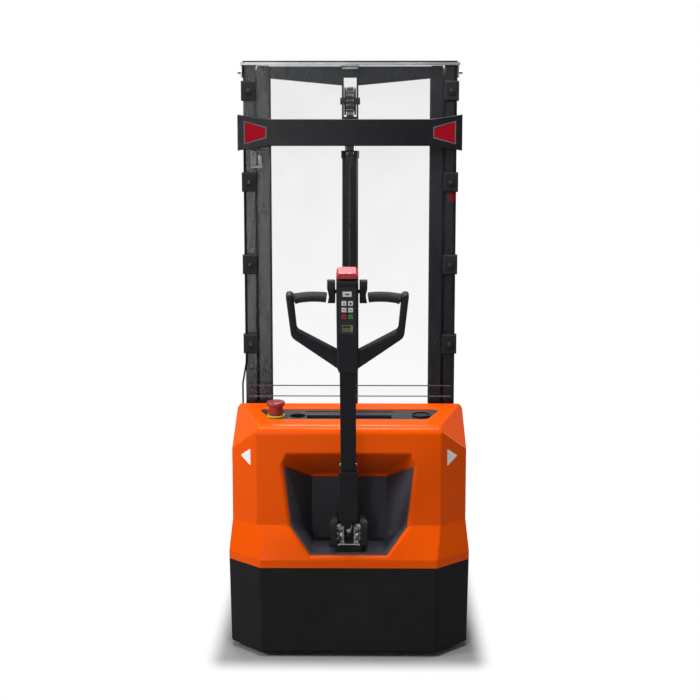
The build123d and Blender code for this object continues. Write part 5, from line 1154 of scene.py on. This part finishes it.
def studio_world():
    """White to the eye, a plain grey fill to everything else."""
    world = bpy.data.worlds.new("studio")
    world.use_nodes = True
    bpy.context.scene.world = world
    tree = world.node_tree
    fill = tree.nodes["Background"]
    fill.inputs["Color"].default_value = WHITE
    fill.inputs["Strength"].default_value = WORLD_FILL
    white = tree.nodes.new("ShaderNodeBackground")
    white.inputs["Strength"].default_value = 1.0
    white.inputs["Color"].default_value = WHITE
    mix = tree.nodes.new("ShaderNodeMixShader")
    tree.links.new(light_rays(tree, "Is Transmission Ray"), mix.inputs[0])
    tree.links.new(fill.outputs[0], mix.inputs[1])
    tree.links.new(white.outputs[0], mix.inputs[2])
    tree.links.new(mix.outputs[0], tree.nodes["World Output"].inputs["Surface"])


# The floor takes shadow under the truck, keeps a dark grey tone there as painted shadow, and fades to white
# a short way around it
FLOOR_FADE = (0.0, 0.145)
FLOOR_SPREAD = (1.8, 1.0, 0.0)
FLOOR_SHADED_TONE = (0.3, 0.3, 0.3, 1)
FLOOR_DULL = (0.25, 0.25, 0.25, 1)
FLOOR_ROUGHNESS = 0.9
FLOOR_SPECULAR = 0.1
FLOOR_RADIUS, FLOOR_POINTS = 30.0, 64


def footprint_distance(tree):
    """How far a point of the floor lies outside the rectangle that the truck stands on."""
    low, high = Vector(cad_box[0]), Vector(cad_box[1])
    low.y = REAR
    middle, half = (low + high) / 2, (high - low) / 2
    socket = tree.nodes.new("ShaderNodeTexCoord").outputs["Object"]
    steps = (("SUBTRACT", middle), ("ABSOLUTE", None), ("SUBTRACT", half),
             ("MAXIMUM", (0, 0, 0)), ("MULTIPLY", FLOOR_SPREAD))
    for operation, value in steps:
        made = tree.nodes.new("ShaderNodeVectorMath")
        made.operation = operation
        tree.links.new(socket, made.inputs[0])
        if value is not None:
            made.inputs[1].default_value = value
        socket = made.outputs["Vector"]
    distance = tree.nodes.new("ShaderNodeVectorMath")
    distance.operation = "LENGTH"
    tree.links.new(socket, distance.inputs[0])
    return distance.outputs["Value"]


def floor_material():
    """Pale floor that reads as white to the eye, with painted shadow in a dark grey tone near the truck, and
    takes the object's shadow too.
    """
    material = bpy.data.materials.new("floor_pale")
    material.use_nodes = True
    tree = material.node_tree
    matt = tree.nodes["Principled BSDF"]
    matt.inputs["Roughness"].default_value = FLOOR_ROUGHNESS
    matt.inputs["Specular IOR Level"].default_value = FLOOR_SPECULAR
    seen = light_rays(tree, "Is Transmission Ray")
    # The eye sees the dark grey tone near the truck: a painted shadow around the footprint, over the real
    # one.
    tone = tree.nodes.new("ShaderNodeMix")
    tone.data_type = "RGBA"
    tone.inputs[MIX_FIRST].default_value = FLOOR_DULL
    tone.inputs[MIX_SECOND].default_value = FLOOR_SHADED_TONE
    glow = tree.nodes.new("ShaderNodeEmission")
    distance = footprint_distance(tree)
    fade = tree.nodes.new("ShaderNodeMapRange")
    fade.interpolation_type = "SMOOTHSTEP"
    fade.inputs["From Min"].default_value, fade.inputs["From Max"].default_value = FLOOR_FADE
    share = tree.nodes.new("ShaderNodeMath")
    share.operation = "MULTIPLY"
    mix = tree.nodes.new("ShaderNodeMixShader")
    tree.links.new(seen, tone.inputs["Factor"])
    tree.links.new(tone.outputs[MIX_RESULT], matt.inputs["Base Color"])
    tree.links.new(distance, fade.inputs["Value"])
    tree.links.new(seen, share.inputs[0])
    tree.links.new(fade.outputs["Result"], share.inputs[1])
    tree.links.new(share.outputs["Value"], mix.inputs[0])
    tree.links.new(matt.outputs[0], mix.inputs[1])
    tree.links.new(glow.outputs[0], mix.inputs[2])
    tree.links.new(mix.outputs[0], tree.nodes["Material Output"].inputs["Surface"])
    return material


def floor():
    """Round pale floor under the object."""
    bm = bmesh.new()
    bmesh.ops.create_circle(bm, cap_ends=True, radius=FLOOR_RADIUS, segments=FLOOR_POINTS)
    piece = bpy.data.objects.new("floor", mesh_from("floor", bm))
    piece.data.materials.append(floor_material())
    bpy.context.scene.collection.objects.link(piece)


def lamp(name, place, target, size, power):
    """Rectangular soft lamp aimed at a point."""
    data = bpy.data.lights.new(name, "AREA")
    data.shape = "RECTANGLE"
    data.size, data.size_y = size
    data.energy = power
    piece = bpy.data.objects.new(name, data)
    piece.location = place
    aim = Vector(target) - Vector(place)
    piece.rotation_euler = aim.to_track_quat("-Z", "Y").to_euler()
    bpy.context.scene.collection.objects.link(piece)


# Lamp, place, aim, size and power
AIM = (0, REAR + 0.2, 0.75)
LAMPS = (
    ("key", (-3.9, REAR - 1.6, 3.0), AIM, (1.4, 1.4), 138.0),
    ("strip", (-0.82, REAR - 4.45, 1.1), AIM, (0.48, 2.2), 23.0),
    ("top", (0, REAR - 0.3, 4.4), (0, REAR + 0.4, 0), (2.4, 1.6), 92.0),
    ("brow", (0.1, REAR - 1.1, 3.6), (0, REAR, 0.7), (0.5, 0.12), 32.0),
    ("front", (-0.8, REAR + 4.0, 5.0), (0, REAR + 0.8, 0.7), (2.4, 2.4), 170.0),
    ("right", (4.2, REAR + 2.4, 2.0), (0, REAR + 0.6, 0.7), (1.6, 1.6), 30.0),
)

studio_world()
floor()
for settings in LAMPS:
    lamp(*settings)

bpy.context.scene.view_settings.view_transform = "Standard"
